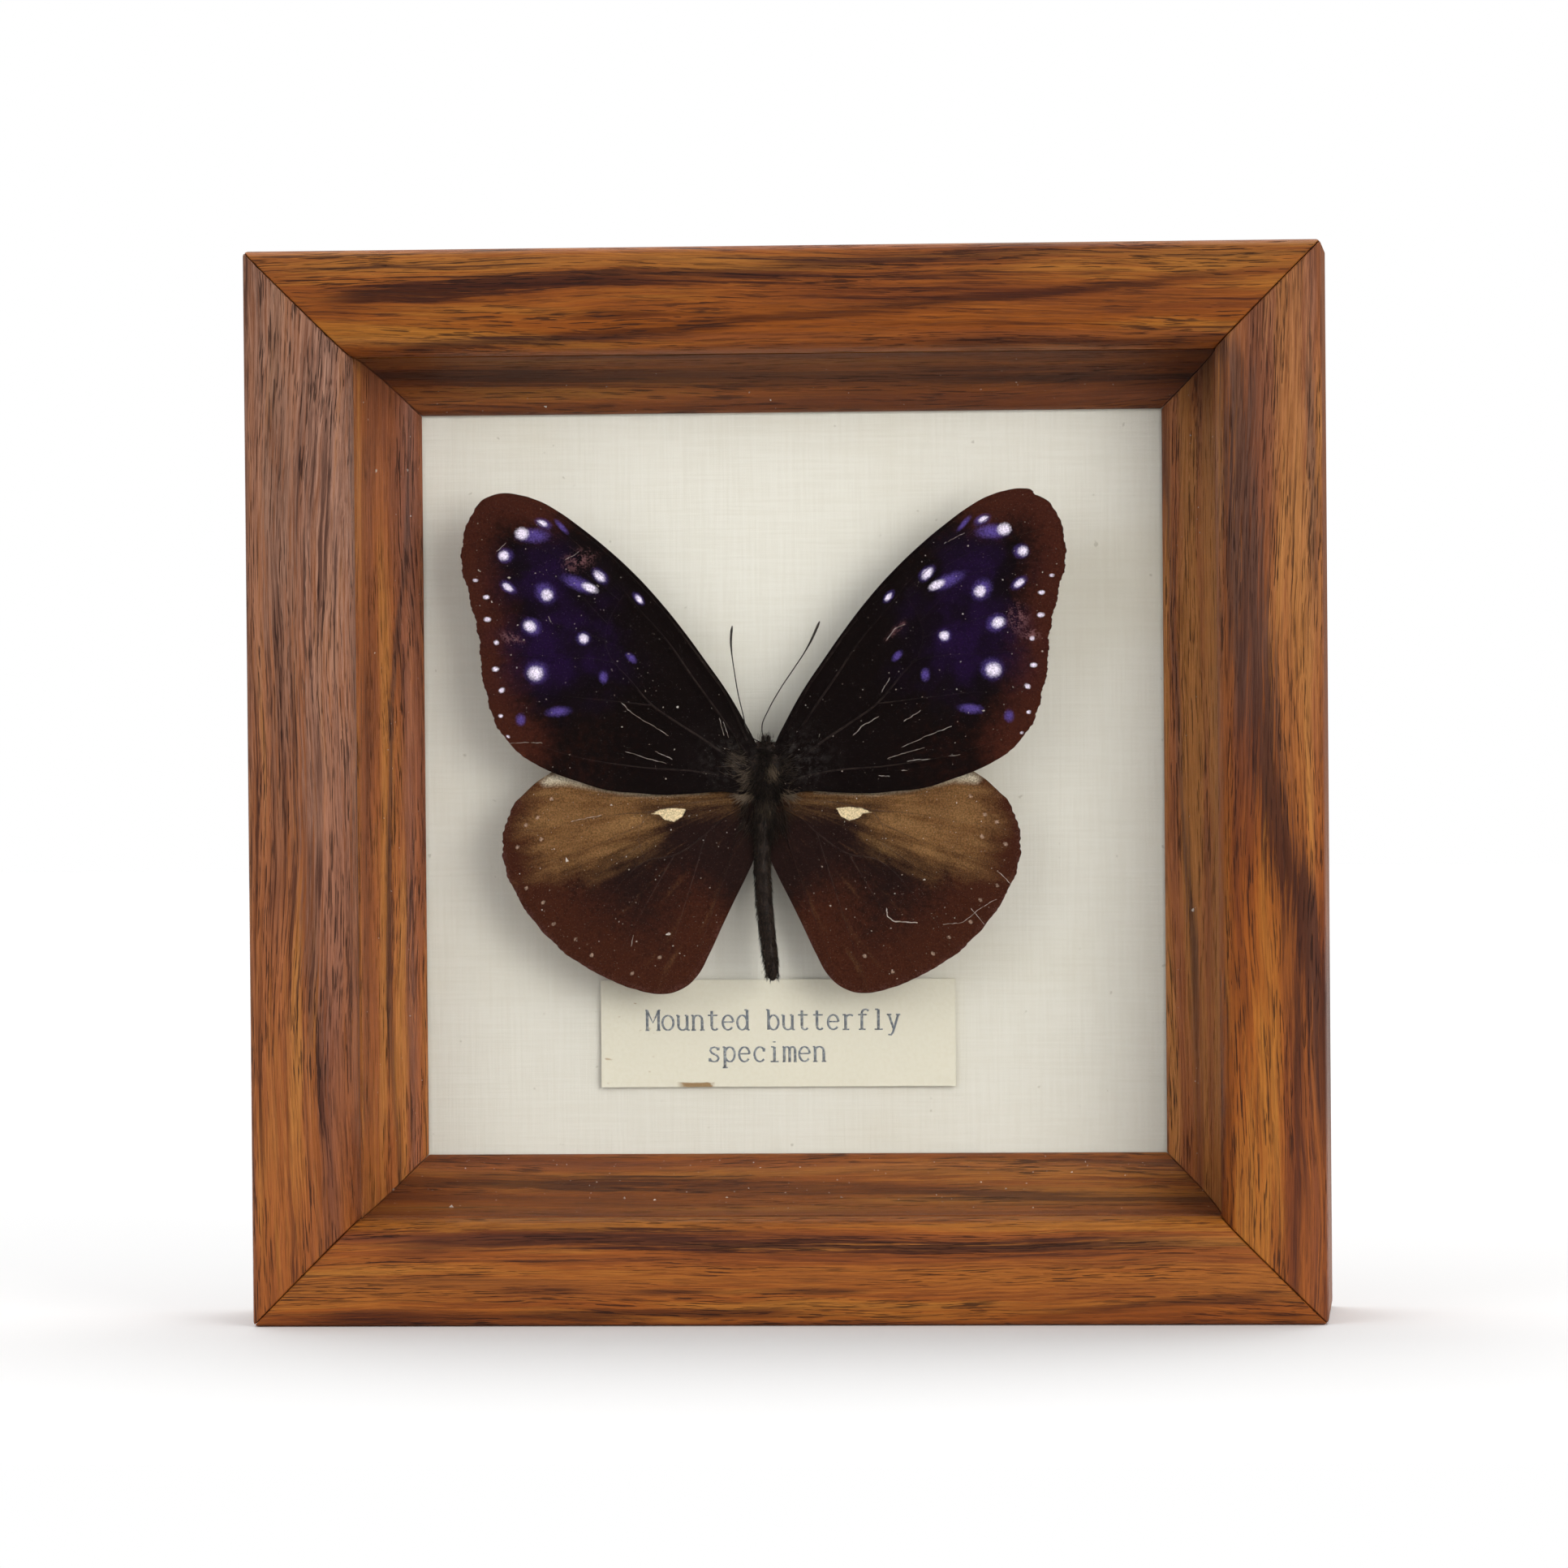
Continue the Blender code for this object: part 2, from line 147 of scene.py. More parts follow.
class Graph:
    """A material and its node tree, laid down a node at a time."""

    def __init__(self, name: str) -> None:
        """Starts an empty Principled material.

        Args:
            name: the material's name.
        """
        self.material = bpy.data.materials.new(name)
        self.material.use_nodes = True
        self.tree = self.material.node_tree
        self.shader = self.tree.nodes["Principled BSDF"]

    def add(self, kind: str, **settings: object) -> bpy.types.Node:
        """Adds a node.

        Args:
            kind: its type after ShaderNode, such as Mix.
            **settings: its properties.

        Returns:
            The node.
        """
        node = self.tree.nodes.new("ShaderNode" + kind)
        for name, value in settings.items():
            setattr(node, name, value)
        return node

    def feed(self, socket: Socket, value: object) -> None:
        """Links an input to an output socket, or sets its plain value."""
        if isinstance(value, bpy.types.NodeSocket):
            self.tree.links.new(value, socket)
        else:
            socket.default_value = value

    def finish(self, **inputs: object) -> Material:
        """Feeds the shader.

        Args:
            **inputs: values by the shader's socket names, with _ for a space.

        Returns:
            The finished material.
        """
        for name, value in inputs.items():
            self.feed(self.shader.inputs[name.replace("_", " ")], value)
        return self.material

    def math(self, operation: str, *values: object, clamp: bool = False) -> Socket:
        """Adds a Math node.

        Args:
            operation: what it does, such as ADD.
            *values: sockets or numbers.
            clamp: whether the result is held between 0 and 1.

        Returns:
            Its result.
        """
        node = self.add("Math", operation=operation, use_clamp=clamp)
        for socket, value in zip(node.inputs, values):
            self.feed(socket, value)
        return node.outputs[0]

    def total(self, *values: object) -> Socket:
        """The sum of two or more values."""
        return reduce(lambda first, second: self.math("ADD", first, second), values)

    def times(self, first: object, second: object, clamp: bool = False) -> Socket:
        """The product of two values."""
        return self.math("MULTIPLY", first, second, clamp=clamp)

    def swing(self, value: Socket, width: float) -> Socket:
        """A value that runs from 0 to 1, spread to a width that is centred on 0."""
        return self.math("MULTIPLY_ADD", value, width, -width / 2)

    def millimetres(self, turn: Sequence[float] = (0, 0, 0), shift: Sequence[float] = (0, 0, 0),
                    stretch: Sequence[float] = (1, 1, 1)) -> Socket:
        """The place on the piece in millimetres.

        Args:
            turn: the turn of the pattern, in radians.
            shift: what is added afterwards, in millimetres.
            stretch: a factor for each axis, before the turn.

        Returns:
            The place as a vector.
        """
        place = self.add("Mapping")
        self.feed(place.inputs["Vector"], self.add("TexCoord").outputs["Object"])
        place.inputs["Location"].default_value = shift
        place.inputs["Rotation"].default_value = turn
        place.inputs["Scale"].default_value = [1000 * factor for factor in stretch]
        return place.outputs[0]

    def split(self, vector: Socket) -> tuple[Socket, Socket, Socket]:
        """The three parts of a vector."""
        node = self.add("SeparateXYZ")
        self.feed(node.inputs[0], vector)
        return node.outputs[0], node.outputs[1], node.outputs[2]

    def join(self, x: object, y: object, z: object) -> Socket:
        """A vector from three parts."""
        node = self.add("CombineXYZ")
        for socket, value in zip(node.inputs, (x, y, z)):
            self.feed(socket, value)
        return node.outputs[0]

    def noise(self, place: Socket, cycles: Sequence[float], detail: float = 3.0, rough: float = 0.5,
              twist: float = 0.0) -> Socket:
        """Soft noise.

        Args:
            place: the vector it reads.
            cycles: how many swings it makes for each unit of the vector, by axis.
            detail: how many finer layers it has.
            rough: how strong the finer layers are.
            twist: how far it distorts itself.

        Returns:
            A value round 0.5.
        """
        scaled = self.add("VectorMath", operation="MULTIPLY")
        self.feed(scaled.inputs[0], place)
        scaled.inputs[1].default_value = cycles
        node = self.add("TexNoise")
        self.feed(node.inputs["Vector"], scaled.outputs[0])
        settings = {"Scale": 1.0, "Detail": detail, "Roughness": rough, "Distortion": twist}
        for setting, value in settings.items():
            node.inputs[setting].default_value = value
        return node.outputs[0]

    def fade(self, value: object, low: float, high: float, start: float = 0.0, end: float = 1.0) -> Socket:
        """Turns a range of a value into a smooth step.

        Args:
            value: what is read.
            low: where the step begins.
            high: where it ends.
            start: the result before it.
            end: the result after it.

        Returns:
            The stepped value.
        """
        node = self.add("MapRange", interpolation_type="SMOOTHSTEP")
        for socket, number in zip(node.inputs, (value, low, high, start, end)):
            self.feed(socket, number)
        return node.outputs[0]

    def mix(self, amount: object, first: object, second: object, blend: str = "MIX") -> Socket:
        """Mixes two colours.

        Args:
            amount: 0 for the first and 1 for the second.
            first: a colour or a socket.
            second: a colour or a socket.
            blend: how the second is laid on the first.

        Returns:
            The mixed colour.
        """
        node = self.add("Mix", data_type="RGBA", blend_type=blend, clamp_factor=True)
        self.feed(node.inputs[0], amount)
        self.feed(node.inputs[6], first)
        self.feed(node.inputs[7], second)
        return node.outputs[2]

    def shades(self, value: Socket, *stops: tuple[float, Colour]) -> Socket:
        """A colour ramp.

        Args:
            value: what is read.
            *stops: the places and colours along it.

        Returns:
            The colour.
        """
        node = self.add("ValToRGB")
        elements = node.color_ramp.elements
        while len(elements) < len(stops):
            elements.new(0.5)
        for element, (place, shade) in zip(elements, stops):
            element.position, element.color = place, shade
        self.feed(node.inputs[0], value)
        return node.outputs[0]

    def curve(self, value: Socket, points: Points) -> Socket:
        """A smooth curve through points.

        Args:
            value: what is read, from 0 to 1.
            points: the curve's points.

        Returns:
            The curve's height there.
        """
        node = self.add("FloatCurve")
        line = node.mapping.curves[0]
        ends = [(0.0, points[0][1]), *points, (1.0, points[-1][1])]
        places = [place for index, place in enumerate(ends) if index == 0 or place[0] > ends[index - 1][0]]
        line.points[0].location, line.points[1].location = places[0], places[-1]
        for place in places[1:-1]:
            line.points.new(*place)
        node.mapping.update()
        self.feed(node.inputs["Value"], value)
        return node.outputs[0]

    def mark(self, name: str) -> Socket:
        """The value of a named attribute of the piece's points."""
        return self.add("Attribute", attribute_name=name).outputs["Fac"]

    def relief(self, height: Socket, depth: float) -> None:
        """Bumps the shader's surface by a value from 0 to 1, to a depth in millimetres."""
        node = self.add("Bump")
        node.inputs["Distance"].default_value = depth * MM
        self.feed(node.inputs["Height"], height)
        self.feed(self.shader.inputs["Normal"], node.outputs[0])


# ---------------------------------------------------------------- finishes


class Tone(Enum):
    """The tones of the frame's wood; the last two are painted sheen."""

    GOLD = "b06f2a"
    ORANGE = "9c551c"
    RUSSET = "7c3e18"
    DARK = "3a1509"
    PORE = "260f08"
    PAINTED_MAUVE_SHEEN = "a07462"
    BLOOM = "bb9480"


@dataclass(frozen=True)
class Figure:
    """A line of figure that runs along a piece of wood.

    Attributes:
        route: its middle, as shares of the length and of the width.
        width: half its width, as a share of the width.
        strength: how strong it is, along the length.
        tone: its colour.
    """

    route: Points
    width: float
    strength: Points = ((0.0, 1.0), (1.0, 1.0))
    tone: Tone = Tone.DARK


@dataclass(frozen=True)
class WoodFinish:
    """Satin rosewood-like wood with its own figure on one strip.

    Attributes:
        side: the side of the frame, which the grain runs along.
        figures: the lines of figure, laid one after the other.
        inner: the insets in millimetres where the strip's shown face begins and ends.
        streaks: how much fine dark streaking there is.
        warmth: moves the ground from russet at -1 to gold at 1.
        painted_shade: how far a painted shade darkens the strip.
        bloom: how far a painted sheen pales it, along the length.
        seed: a place in the noise, so that no two strips match.
    """

    side: Side
    figures: Sequence[Figure]
    inner: tuple[float, float]
    streaks: float = 0.5
    warmth: float = 0.0
    painted_shade: float = 0.0
    bloom: Points = ()
    seed: float = 0.0

    def material(self, name: str, plan: Plan) -> Material:
        """Makes the material under a name, for a frame with these lines."""
        g = Graph(name)
        half = (plan.right - plan.left) / 2 / MM
        high = (plan.top - plan.bottom) / MM
        upright = self.side in (Side.LEFT, Side.RIGHT)
        outer = 0.0 if self.side is Side.BOTTOM else high if self.side is Side.TOP else half
        along_shift = high / 2 if upright else 0.0
        place = g.millimetres(turn=(math.pi / 2, 0, self.side.grain_turn),
                              shift=(along_shift, outer, self.seed),
                              stretch=(self.side.grain_mirror, 1, -1))
        along, across, deep = g.split(place)
        wander = g.swing(g.noise(place, (0.012, 0.04, 0.04), 1.0), 7.0)
        ripple = g.swing(g.noise(place, (0.06, 0.3, 0.3), 2.0), 0.9)
        bent = g.total(across, wander, ripple)
        grain = g.join(along, bent, deep)
        fine = g.noise(grain, (0.09, 4.2, 4.2), 5.0, 0.8)
        ground = g.noise(grain, (0.014, 0.3, 0.3), 4.0, 0.6)
        shade = g.shades(g.total(ground, -0.1 * self.warmth), (0.36, colour(Tone.GOLD.value)),
                         (0.47, colour(Tone.ORANGE.value)), (0.62, colour(Tone.RUSSET.value)))
        share = g.math("DIVIDE", g.math("SUBTRACT", g.total(across, ripple), self.inner[0]),
                       self.inner[1] - self.inner[0])
        run = g.math("MULTIPLY_ADD", along, 0.5 / half, 0.5, clamp=True)
        lines = g.noise(grain, (0.03, 1.5, 1.5), 5.0, 0.72)
        ragged = g.total(g.times(fine, 4.0), g.times(lines, 5.0), -4.5)
        for figure in self.figures:
            shade = self.lay_figure(g, shade, figure, run, share, ragged)
        # Painted sheen: pales the wood, more towards one end of the strip.
        if self.bloom:
            pale = g.times(g.curve(run, self.bloom), g.fade(fine, 0.3, 0.62, 0.5, 1.3))
            shade = g.mix(pale, shade, colour(Tone.BLOOM.value))
        patches = g.noise(grain, (0.03, 0.16, 0.16), 2.0)
        low = 0.64 - 0.16 * self.streaks
        frayed = g.total(lines, g.swing(fine, 0.34))
        streak = g.times(g.fade(frayed, low, low + 0.08), g.fade(patches, 0.36, 0.54))
        shade = g.mix(g.times(streak, 0.78), shade, colour(Tone.DARK.value))
        fleck = g.shades(fine, (0.28, (0.5, 0.46, 0.46, 1)), (0.5, (0.98, 0.96, 0.94, 1)),
                         (0.72, (1.42, 1.42, 1.4, 1)))
        shade = g.mix(1.0, shade, fleck, "MULTIPLY")
        pore = g.fade(g.noise(grain, (0.2, 5.6, 5.6), 2.0, 0.6), 0.555, 0.61)
        pore = g.times(pore, g.fade(g.noise(grain, (0.05, 0.5, 0.5), 2.0), 0.4, 0.58, 0.3, 1.0))
        shade = g.mix(g.times(pore, 0.8), shade, colour(Tone.PORE.value))
        # Painted shade: darkens the whole strip towards a dull brown.
        if self.painted_shade:
            shade = g.mix(self.painted_shade, shade, colour("5a4030"))
        rough = g.total(g.times(pore, 0.25), g.times(fine, 0.2), 0.32)
        height = g.total(g.times(fine, 0.6), g.times(pore, -0.8), 0.5)
        g.relief(height, 0.06)
        return g.finish(Base_Color=shade, Roughness=rough, Specular_IOR_Level=0.22)

    @staticmethod
    def lay_figure(g: Graph, shade: Socket, figure: Figure, run: Socket, share: Socket,
                   ragged: Socket) -> Socket:
        """Lays one line of figure over the wood.

        Args:
            g: the wood's nodes.
            shade: the colour so far.
            figure: the line of figure.
            run: the share of the length.
            share: the share of the width.
            ragged: the fine grain, which frays the line's edges.

        Returns:
            The colour with the line on it.
        """
        away = g.math("ABSOLUTE", g.math("SUBTRACT", share, g.curve(run, figure.route)))
        inside = g.math("SUBTRACT", 1.0, g.math("DIVIDE", away, figure.width))
        body = g.fade(g.total(inside, ragged), -0.25, 0.65)
        core = g.times(body, g.fade(inside, -1.1, 0.2))
        amount = g.times(core, g.curve(run, figure.strength), clamp=True)
        return g.mix(g.times(amount, 0.88), shade, colour(figure.tone.value))


@dataclass(frozen=True)
class LinenPaper:
    """The board's covering: off-white paper pressed with a linen weave, with painted shade towards its
    bottom and sides.
    """

    ground: Colour = colour("f4f2e6")
    shadow: Colour = colour("e6e2d2")

    def material(self) -> Material:
        """Makes the material."""
        g = Graph("linen_paper")
        place = g.millimetres()
        weft = g.noise(place, (0.12, 1.0, 3.4), 3.0, 0.6)
        warp = g.noise(place, (3.4, 1.0, 0.12), 3.0, 0.6)
        weave = g.times(g.total(weft, warp), 0.5)
        cloud = g.noise(place, (0.03, 0.03, 0.03), 3.0)
        shade = g.mix(g.fade(weave, 0.62, 0.38, 0.0, 0.34), self.ground, self.shadow)
        shade = g.mix(g.fade(cloud, 0.45, 0.7, 0.0, 0.22), shade, colour("dcd3b4"))
        fleck = g.fade(g.noise(place, (0.9, 0.9, 0.9), 2.0), 0.735, 0.76, 0.0, 0.3)
        shade = g.mix(fleck, shade, colour("8f8668"))
        across, _, up = g.split(place)
        # Painted shade: darker towards the bottom and towards the sides, most on the right, with a little
        # random tone.
        tone_and_painted_shade = g.total(g.fade(up, 116.0, 24.0, 0.0, 0.18), g.fade(across, 22.0, 42.0, 0.0, 0.1),
                        g.fade(across, -30.0, -43.0, 0.0, 0.05), g.swing(cloud, 0.06))
        shade = g.mix(tone_and_painted_shade, shade, colour("4a4436"))
        g.relief(weave, 0.05)
        return g.finish(Base_Color=shade, Roughness=0.85, Specular_IOR_Level=0.25)


@dataclass(frozen=True)
class CardStock:
    """The label's smooth cream card, with a brown glue stain at its lower edge."""

    ground: Colour = colour("e1ddca")
    stain: Colour = colour("8a662c")

    def material(self, low: Vector) -> Material:
        """Makes the material for a card whose lowest corner is given."""
        g = Graph("label_card_stock")
        place = g.millimetres()
        x, _, z = g.split(place)
        fibre = g.noise(place, (2.2, 2.2, 2.2), 4.0, 0.6)
        shade = g.mix(g.fade(fibre, 0.4, 0.65, 0.0, 0.16), self.ground, colour("cfc7a8"))
        spot_x, spot_z = low.x / MM + 11.5, low.z / MM + 0.15
        wide = g.math("DIVIDE", g.math("ABSOLUTE", g.math("SUBTRACT", x, spot_x)), 2.1)
        high_up = g.math("DIVIDE", g.math("ABSOLUTE", g.math("SUBTRACT", z, spot_z)), 0.4)
        away = g.total(g.math("MAXIMUM", wide, high_up),
                      g.swing(g.noise(place, (1.1, 1.1, 1.1)), 0.9))
        shade = g.mix(g.fade(away, 1.1, 0.7, 0.0, 0.9), shade, self.stain)
        speck = g.times(g.fade(x, low.x / MM + 9.0, low.x / MM + 4.0),
                       g.fade(g.noise(place, (0.9, 0.9, 2.4), 2.0), 0.7, 0.75))
        shade = g.mix(g.times(speck, 0.6), shade, colour("a58658"))
        g.relief(fibre, 0.01)
        return g.finish(Base_Color=shade, Roughness=0.62, Specular_IOR_Level=0.4)


@dataclass(frozen=True)
class Ink:
    """Grey-blue ink that has taken unevenly."""

    strong: Colour = colour("6d747c")
    weak: Colour = colour("9fa4a4")

    def material(self) -> Material:
        """Makes the material."""
        g = Graph("label_ink")
        patch = g.noise(g.millimetres(), (2.6, 2.6, 2.6), 3.0, 0.6)
        shade = g.mix(g.fade(patch, 0.42, 0.66), self.strong, self.weak)
        g.relief(patch, 0.004)
        return g.finish(Base_Color=shade, Roughness=0.7)


@dataclass(frozen=True)
class ClearGlass:
    """Old picture glass, see-through and faintly uneven."""

    def material(self) -> Material:
        """Makes the material."""
        g = Graph("picture_glass")
        g.relief(g.noise(g.millimetres(), (0.02, 0.02, 0.02), 1.0), 0.02)
        return g.finish(Base_Color=(1.0, 1.0, 1.0, 1.0), Roughness=0.02, IOR=1.45, Transmission_Weight=1.0,
                        Specular_IOR_Level=0.07)


@dataclass(frozen=True)
class Hardboard:
    """Pressed brown fibre board with paler fibres and scuffs."""

    def material(self) -> Material:
        """Makes the material."""
        g = Graph("pressed_hardboard")
        place = g.millimetres()
        fibre = g.noise(place, (0.9, 0.9, 1.6), 5.0, 0.7, 1.2)
        speck = g.noise(place, (5.0, 5.0, 5.0), 2.0)
        shade = g.shades(fibre, (0.33, colour("4a2f1d")), (0.52, colour("6b4a30")), (0.7, colour("8b6a48")))
        shade = g.mix(g.fade(speck, 0.6, 0.7, 0.0, 0.5), shade, colour("2c1a10"))
        scuff = g.fade(g.noise(place, (0.05, 0.05, 0.4), 3.0, 0.6), 0.6, 0.72, 0.0, 0.35)
        shade = g.mix(scuff, shade, colour("a3835f"))
        g.relief(fibre, 0.08)
        return g.finish(Base_Color=shade, Roughness=0.8)


@dataclass(frozen=True)
class Metal:
    """Thin bright-plated steel, dulled and spotted with age.

    Attributes:
        name: the material's name.
        bright: the plating's colour.
        dull: the colour of its spots.
        cycles: the spots' fineness, for each millimetre.
    """

    name: str
    bright: Colour
    dull: Colour
    cycles: float = 1.5

    def material(self) -> Material:
        """Makes the material."""
        g = Graph(self.name)
        place = g.millimetres()
        spots = g.noise(place, (self.cycles,) * 3, 4.0, 0.65)
        brushed = g.noise(place, (0.3, 6.0, 6.0), 2.0)
        shade = g.mix(g.fade(spots, 0.52, 0.68, 0.0, 0.8), self.bright, self.dull)
        rough = g.total(g.fade(spots, 0.45, 0.7, 0.28, 0.62), g.times(brushed, 0.1))
        g.relief(g.total(g.times(spots, 0.6), g.times(brushed, 0.4)), 0.01)
        return g.finish(Base_Color=shade, Roughness=rough, Metallic=1.0)


@dataclass(frozen=True)
class WingScales:
    """The scaled skin of a wing, coloured by the marks on its points.

    Attributes:
        name: the material's name.
        root: the colour by the body.
        rim: the colour at the outer margin.
    """

    name: str
    root: Colour
    rim: Colour

    def material(self) -> Material:
        """Makes the material."""
        g = Graph(self.name)
        place = g.millimetres()
        dots = g.noise(place, (5.5, 5.5, 5.5), 2.0, 0.6)
        mottle = g.noise(place, (1.3, 1.3, 1.3), 4.0, 0.62)
        cloud = g.noise(place, (0.25, 0.25, 0.25), 3.0)
        fray = g.total(g.swing(dots, 0.9), g.swing(mottle, 0.9))
        rim = g.total(g.mark("rim"), g.swing(mottle, 0.7))
        shade = g.mix(g.fade(rim, 0.15, 0.95), self.root, self.rim)
        shade = self.marks(g, shade, fray, mottle, cloud)
        speckle = g.shades(dots, (0.34, (0.66, 0.66, 0.66, 1)), (0.66, (1.34, 1.34, 1.34, 1)))
        shade = g.mix(1.0, shade, speckle, "MULTIPLY")
        vein = g.times(g.mark("vein"), g.fade(mottle, 0.35, 0.6, 0.15, 0.55))
        shade = g.mix(vein, shade, colour("4c403b"))
        worn = g.times(g.mark("worn"), g.fade(g.total(dots, mottle), 0.94, 1.16))
        shade = g.mix(g.times(worn, 0.55), shade, colour("8a6062"))
        height = g.total(g.times(dots, 0.5), g.times(mottle, 0.5))
        g.relief(height, 0.02)
        return g.finish(Base_Color=shade, Roughness=g.fade(mottle, 0.3, 0.7, 0.5, 0.68),
                        Specular_IOR_Level=0.02)

    def marks(self, g: Graph, shade: Socket, fray: Socket, mottle: Socket, cloud: Socket) -> Socket:
        """Lays the marks that each kind of wing has of its own.

        Args:
            g: the wing's nodes.
            shade: the colour so far.
            fray: the noise of single scales, centred on 0.
            mottle: the noise of groups of scales.
            cloud: the widest noise.

        Returns:
            The marked colour.
        """
        raise NotImplementedError


@dataclass(frozen=True)
class ForewingScales(WingScales):
    """The forewing's skin: violet gloss, and white spots that shade to violet."""

    gloss: Colour = colour("1c0b2b")
    violet: Colour = colour("55448a")
    white: Colour = colour("ece2f4")

    def marks(self, g: Graph, shade: Socket, fray: Socket, mottle: Socket, cloud: Socket) -> Socket:
        """Lays the gloss, the dusting and the spots."""
        gloss = g.times(g.mark("gloss"), g.fade(cloud, 0.35, 0.62, 0.4, 1.0))
        shade = g.mix(g.fade(gloss, 0.05, 0.95), shade, self.gloss)
        dusted = g.times(g.mark("dusted"), g.fade(mottle, 0.42, 0.7))
        shade = g.mix(dusted, shade, colour("2e2a28"))
        violet = g.fade(g.total(g.mark("violet"), g.times(fray, 0.4)), -0.22, 0.85)
        shade = g.mix(g.times(violet, 0.9), shade, self.violet)
        white = g.fade(g.total(g.mark("white"), g.times(fray, 0.3)), 0.0, 0.68)
        return g.mix(white, shade, self.white)


@dataclass(frozen=True)
class HindwingScales(WingScales):
    """The hindwing's skin: a bare golden patch by the front edge, and a cream spot."""

    gold: Colour = colour("684728")
    pale: Colour = colour("d9cfb6")
    cream: Colour = colour("d8c49c")

    def marks(self, g: Graph, shade: Socket, fray: Socket, mottle: Socket, cloud: Socket) -> Socket:
        """Lays the patch, the pale front edge and the spots."""
        fan = g.join(g.times(g.mark("angle"), 13.0), g.times(g.mark("reach"), 0.11), 0.0)
        ray = g.noise(fan, (1.0, 1.0, 1.0), 4.0, 0.62)
        bare = g.total(g.mark("gold"), g.times(fray, 0.4), g.swing(ray, 2.2))
        patch = g.fade(bare, -0.9, 1.1)
        warm = g.mix(g.fade(ray, 0.32, 0.66), self.gold, colour("84623c"))
        warm = g.mix(g.fade(cloud, 0.35, 0.65, 0.0, 0.5), warm, colour("6a4a2c"))
        shade = g.mix(g.times(patch, 0.93), shade, warm)
        shade = g.mix(g.fade(ray, 0.6, 0.78, 0.0, 0.14), shade, colour("6b4a35"))
        edge = g.fade(g.total(g.mark("pale"), g.times(fray, 0.35)), 0.0, 1.1, 0.0, 0.8)
        shade = g.mix(edge, shade, self.pale)
        dot = g.fade(g.total(g.mark("white"), g.times(fray, 0.7)), 0.0, 0.6)
        shade = g.mix(g.times(dot, 0.6), shade, colour("b49a86"))
        cream = g.fade(g.total(g.mark("cream"), g.times(fray, 0.35)), -0.08, 0.16)
        return g.mix(cream, shade, self.cream)


@dataclass(frozen=True)
class Skin:
    """The dark, slightly glossy skin of the body and the antennae.

    Attributes:
        name: the material's name.
        deep: its colour in the hollows of its grain, a painted shade.
        lit: its colour on the ridges of its grain, a painted highlight.
        gloss: its roughness.
    """

    name: str
    deep: Colour
    lit: Colour
    gloss: float = 0.45

    def material(self) -> Material:
        """Makes the material."""
        g = Graph(self.name)
        place = g.millimetres()
        grain = g.noise(place, (4.0, 4.0, 4.0), 3.0, 0.6)
        # Painted shade in the grain's hollows and painted highlight on its ridges, following the bump.
        shade = g.mix(g.fade(grain, 0.35, 0.7), self.deep, self.lit)
        g.relief(grain, 0.03)
        return g.finish(Base_Color=shade, Roughness=g.fade(grain, 0.3, 0.7, self.gloss, self.gloss + 0.2),
                        Specular_IOR_Level=0.18)


@dataclass(frozen=True)
class Down:
    """Fine hair whose tone follows each hair's own mark."""

    name: str
    dark: Colour
    light: Colour

    def material(self) -> Material:
        """Makes the material."""
        g = Graph(self.name)
        wave = g.noise(g.millimetres(), (1.5, 1.5, 1.5), 2.0)
        tone = g.total(g.mark("tone"), g.swing(wave, 0.3))
        shade = g.mix(g.fade(tone, 0.0, 1.0), self.dark, self.light)
        return g.finish(Base_Color=shade, Roughness=0.55, Specular_IOR_Level=0.12)


@dataclass(frozen=True)
class DustFinish:
    """Pale dust, broken scales and lint."""

    def material(self) -> Material:
        """Makes the material."""
        g = Graph("pale_dust")
        grain = g.noise(g.millimetres(), (2.0, 2.0, 2.0), 2.0)
        shade = g.mix(g.fade(grain, 0.35, 0.65), colour("d8d0c6"), colour("97867a"))
        return g.finish(Base_Color=shade, Roughness=0.8)


# ---------------------------------------------------------------- the bench


def only(piece: Piece) -> None:
    """Makes a piece the one that is selected and active."""
    bpy.ops.object.select_all(action="DESELECT")
    piece.select_set(True)
    bpy.context.view_layer.objects.active = piece


def dress(piece: Piece, finish: Material, slot: str, *nodes: str) -> None:
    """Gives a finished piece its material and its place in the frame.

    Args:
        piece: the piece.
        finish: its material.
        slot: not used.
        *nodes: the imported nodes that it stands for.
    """
    piece.data.materials.clear()
    piece.data.materials.append(finish)
    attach(piece, BODY)
    if nodes:
        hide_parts(*nodes)
    stands_for = ", ".join(nodes) or "itself"
    LOG.info("%s: %d faces, stands for %s", piece.name, len(piece.data.polygons), stands_for)


def repaint(node: str, finish: Material) -> Piece:
    """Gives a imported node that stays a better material.

    Args:
        node: the node's name.
        finish: its material.

    Returns:
        The node's object.
    """
    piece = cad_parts[node]
    piece.data.materials.clear()
    piece.data.materials.append(finish)
    LOG.info("%s: repainted", node)
    return piece


def many_shapes(name: str, shapes: np.ndarray, faces: Sequence[tuple[int, ...]]) -> Piece:
    """Makes one piece from many small shapes that share the same faces.

    Args:
        name: the piece's name.
        shapes: the points of each shape, in metres.
        faces: the faces of one shape, as indices of its points.

    Returns:
        The piece.
    """
    count, size = shapes.shape[:2]
    firsts = range(0, count * size, size)
    every = [tuple(first + corner for corner in face) for first in firsts for face in faces]
    mesh = bpy.data.meshes.new(name)
    mesh.from_pydata(shapes.reshape(-1, 3).tolist(), [], every)
    mesh.update()
    piece = bpy.data.objects.new(name, mesh)
    bpy.context.scene.collection.objects.link(piece)
    return piece


def set_mark(piece: Piece, name: str, values: np.ndarray) -> None:
    """Writes a mark on a piece: a named value for each of its points."""
    layer = piece.data.attributes.get(name) or piece.data.attributes.new(name, "FLOAT", "POINT")
    layer.data.foreach_set("value", np.asarray(values, np.float32))


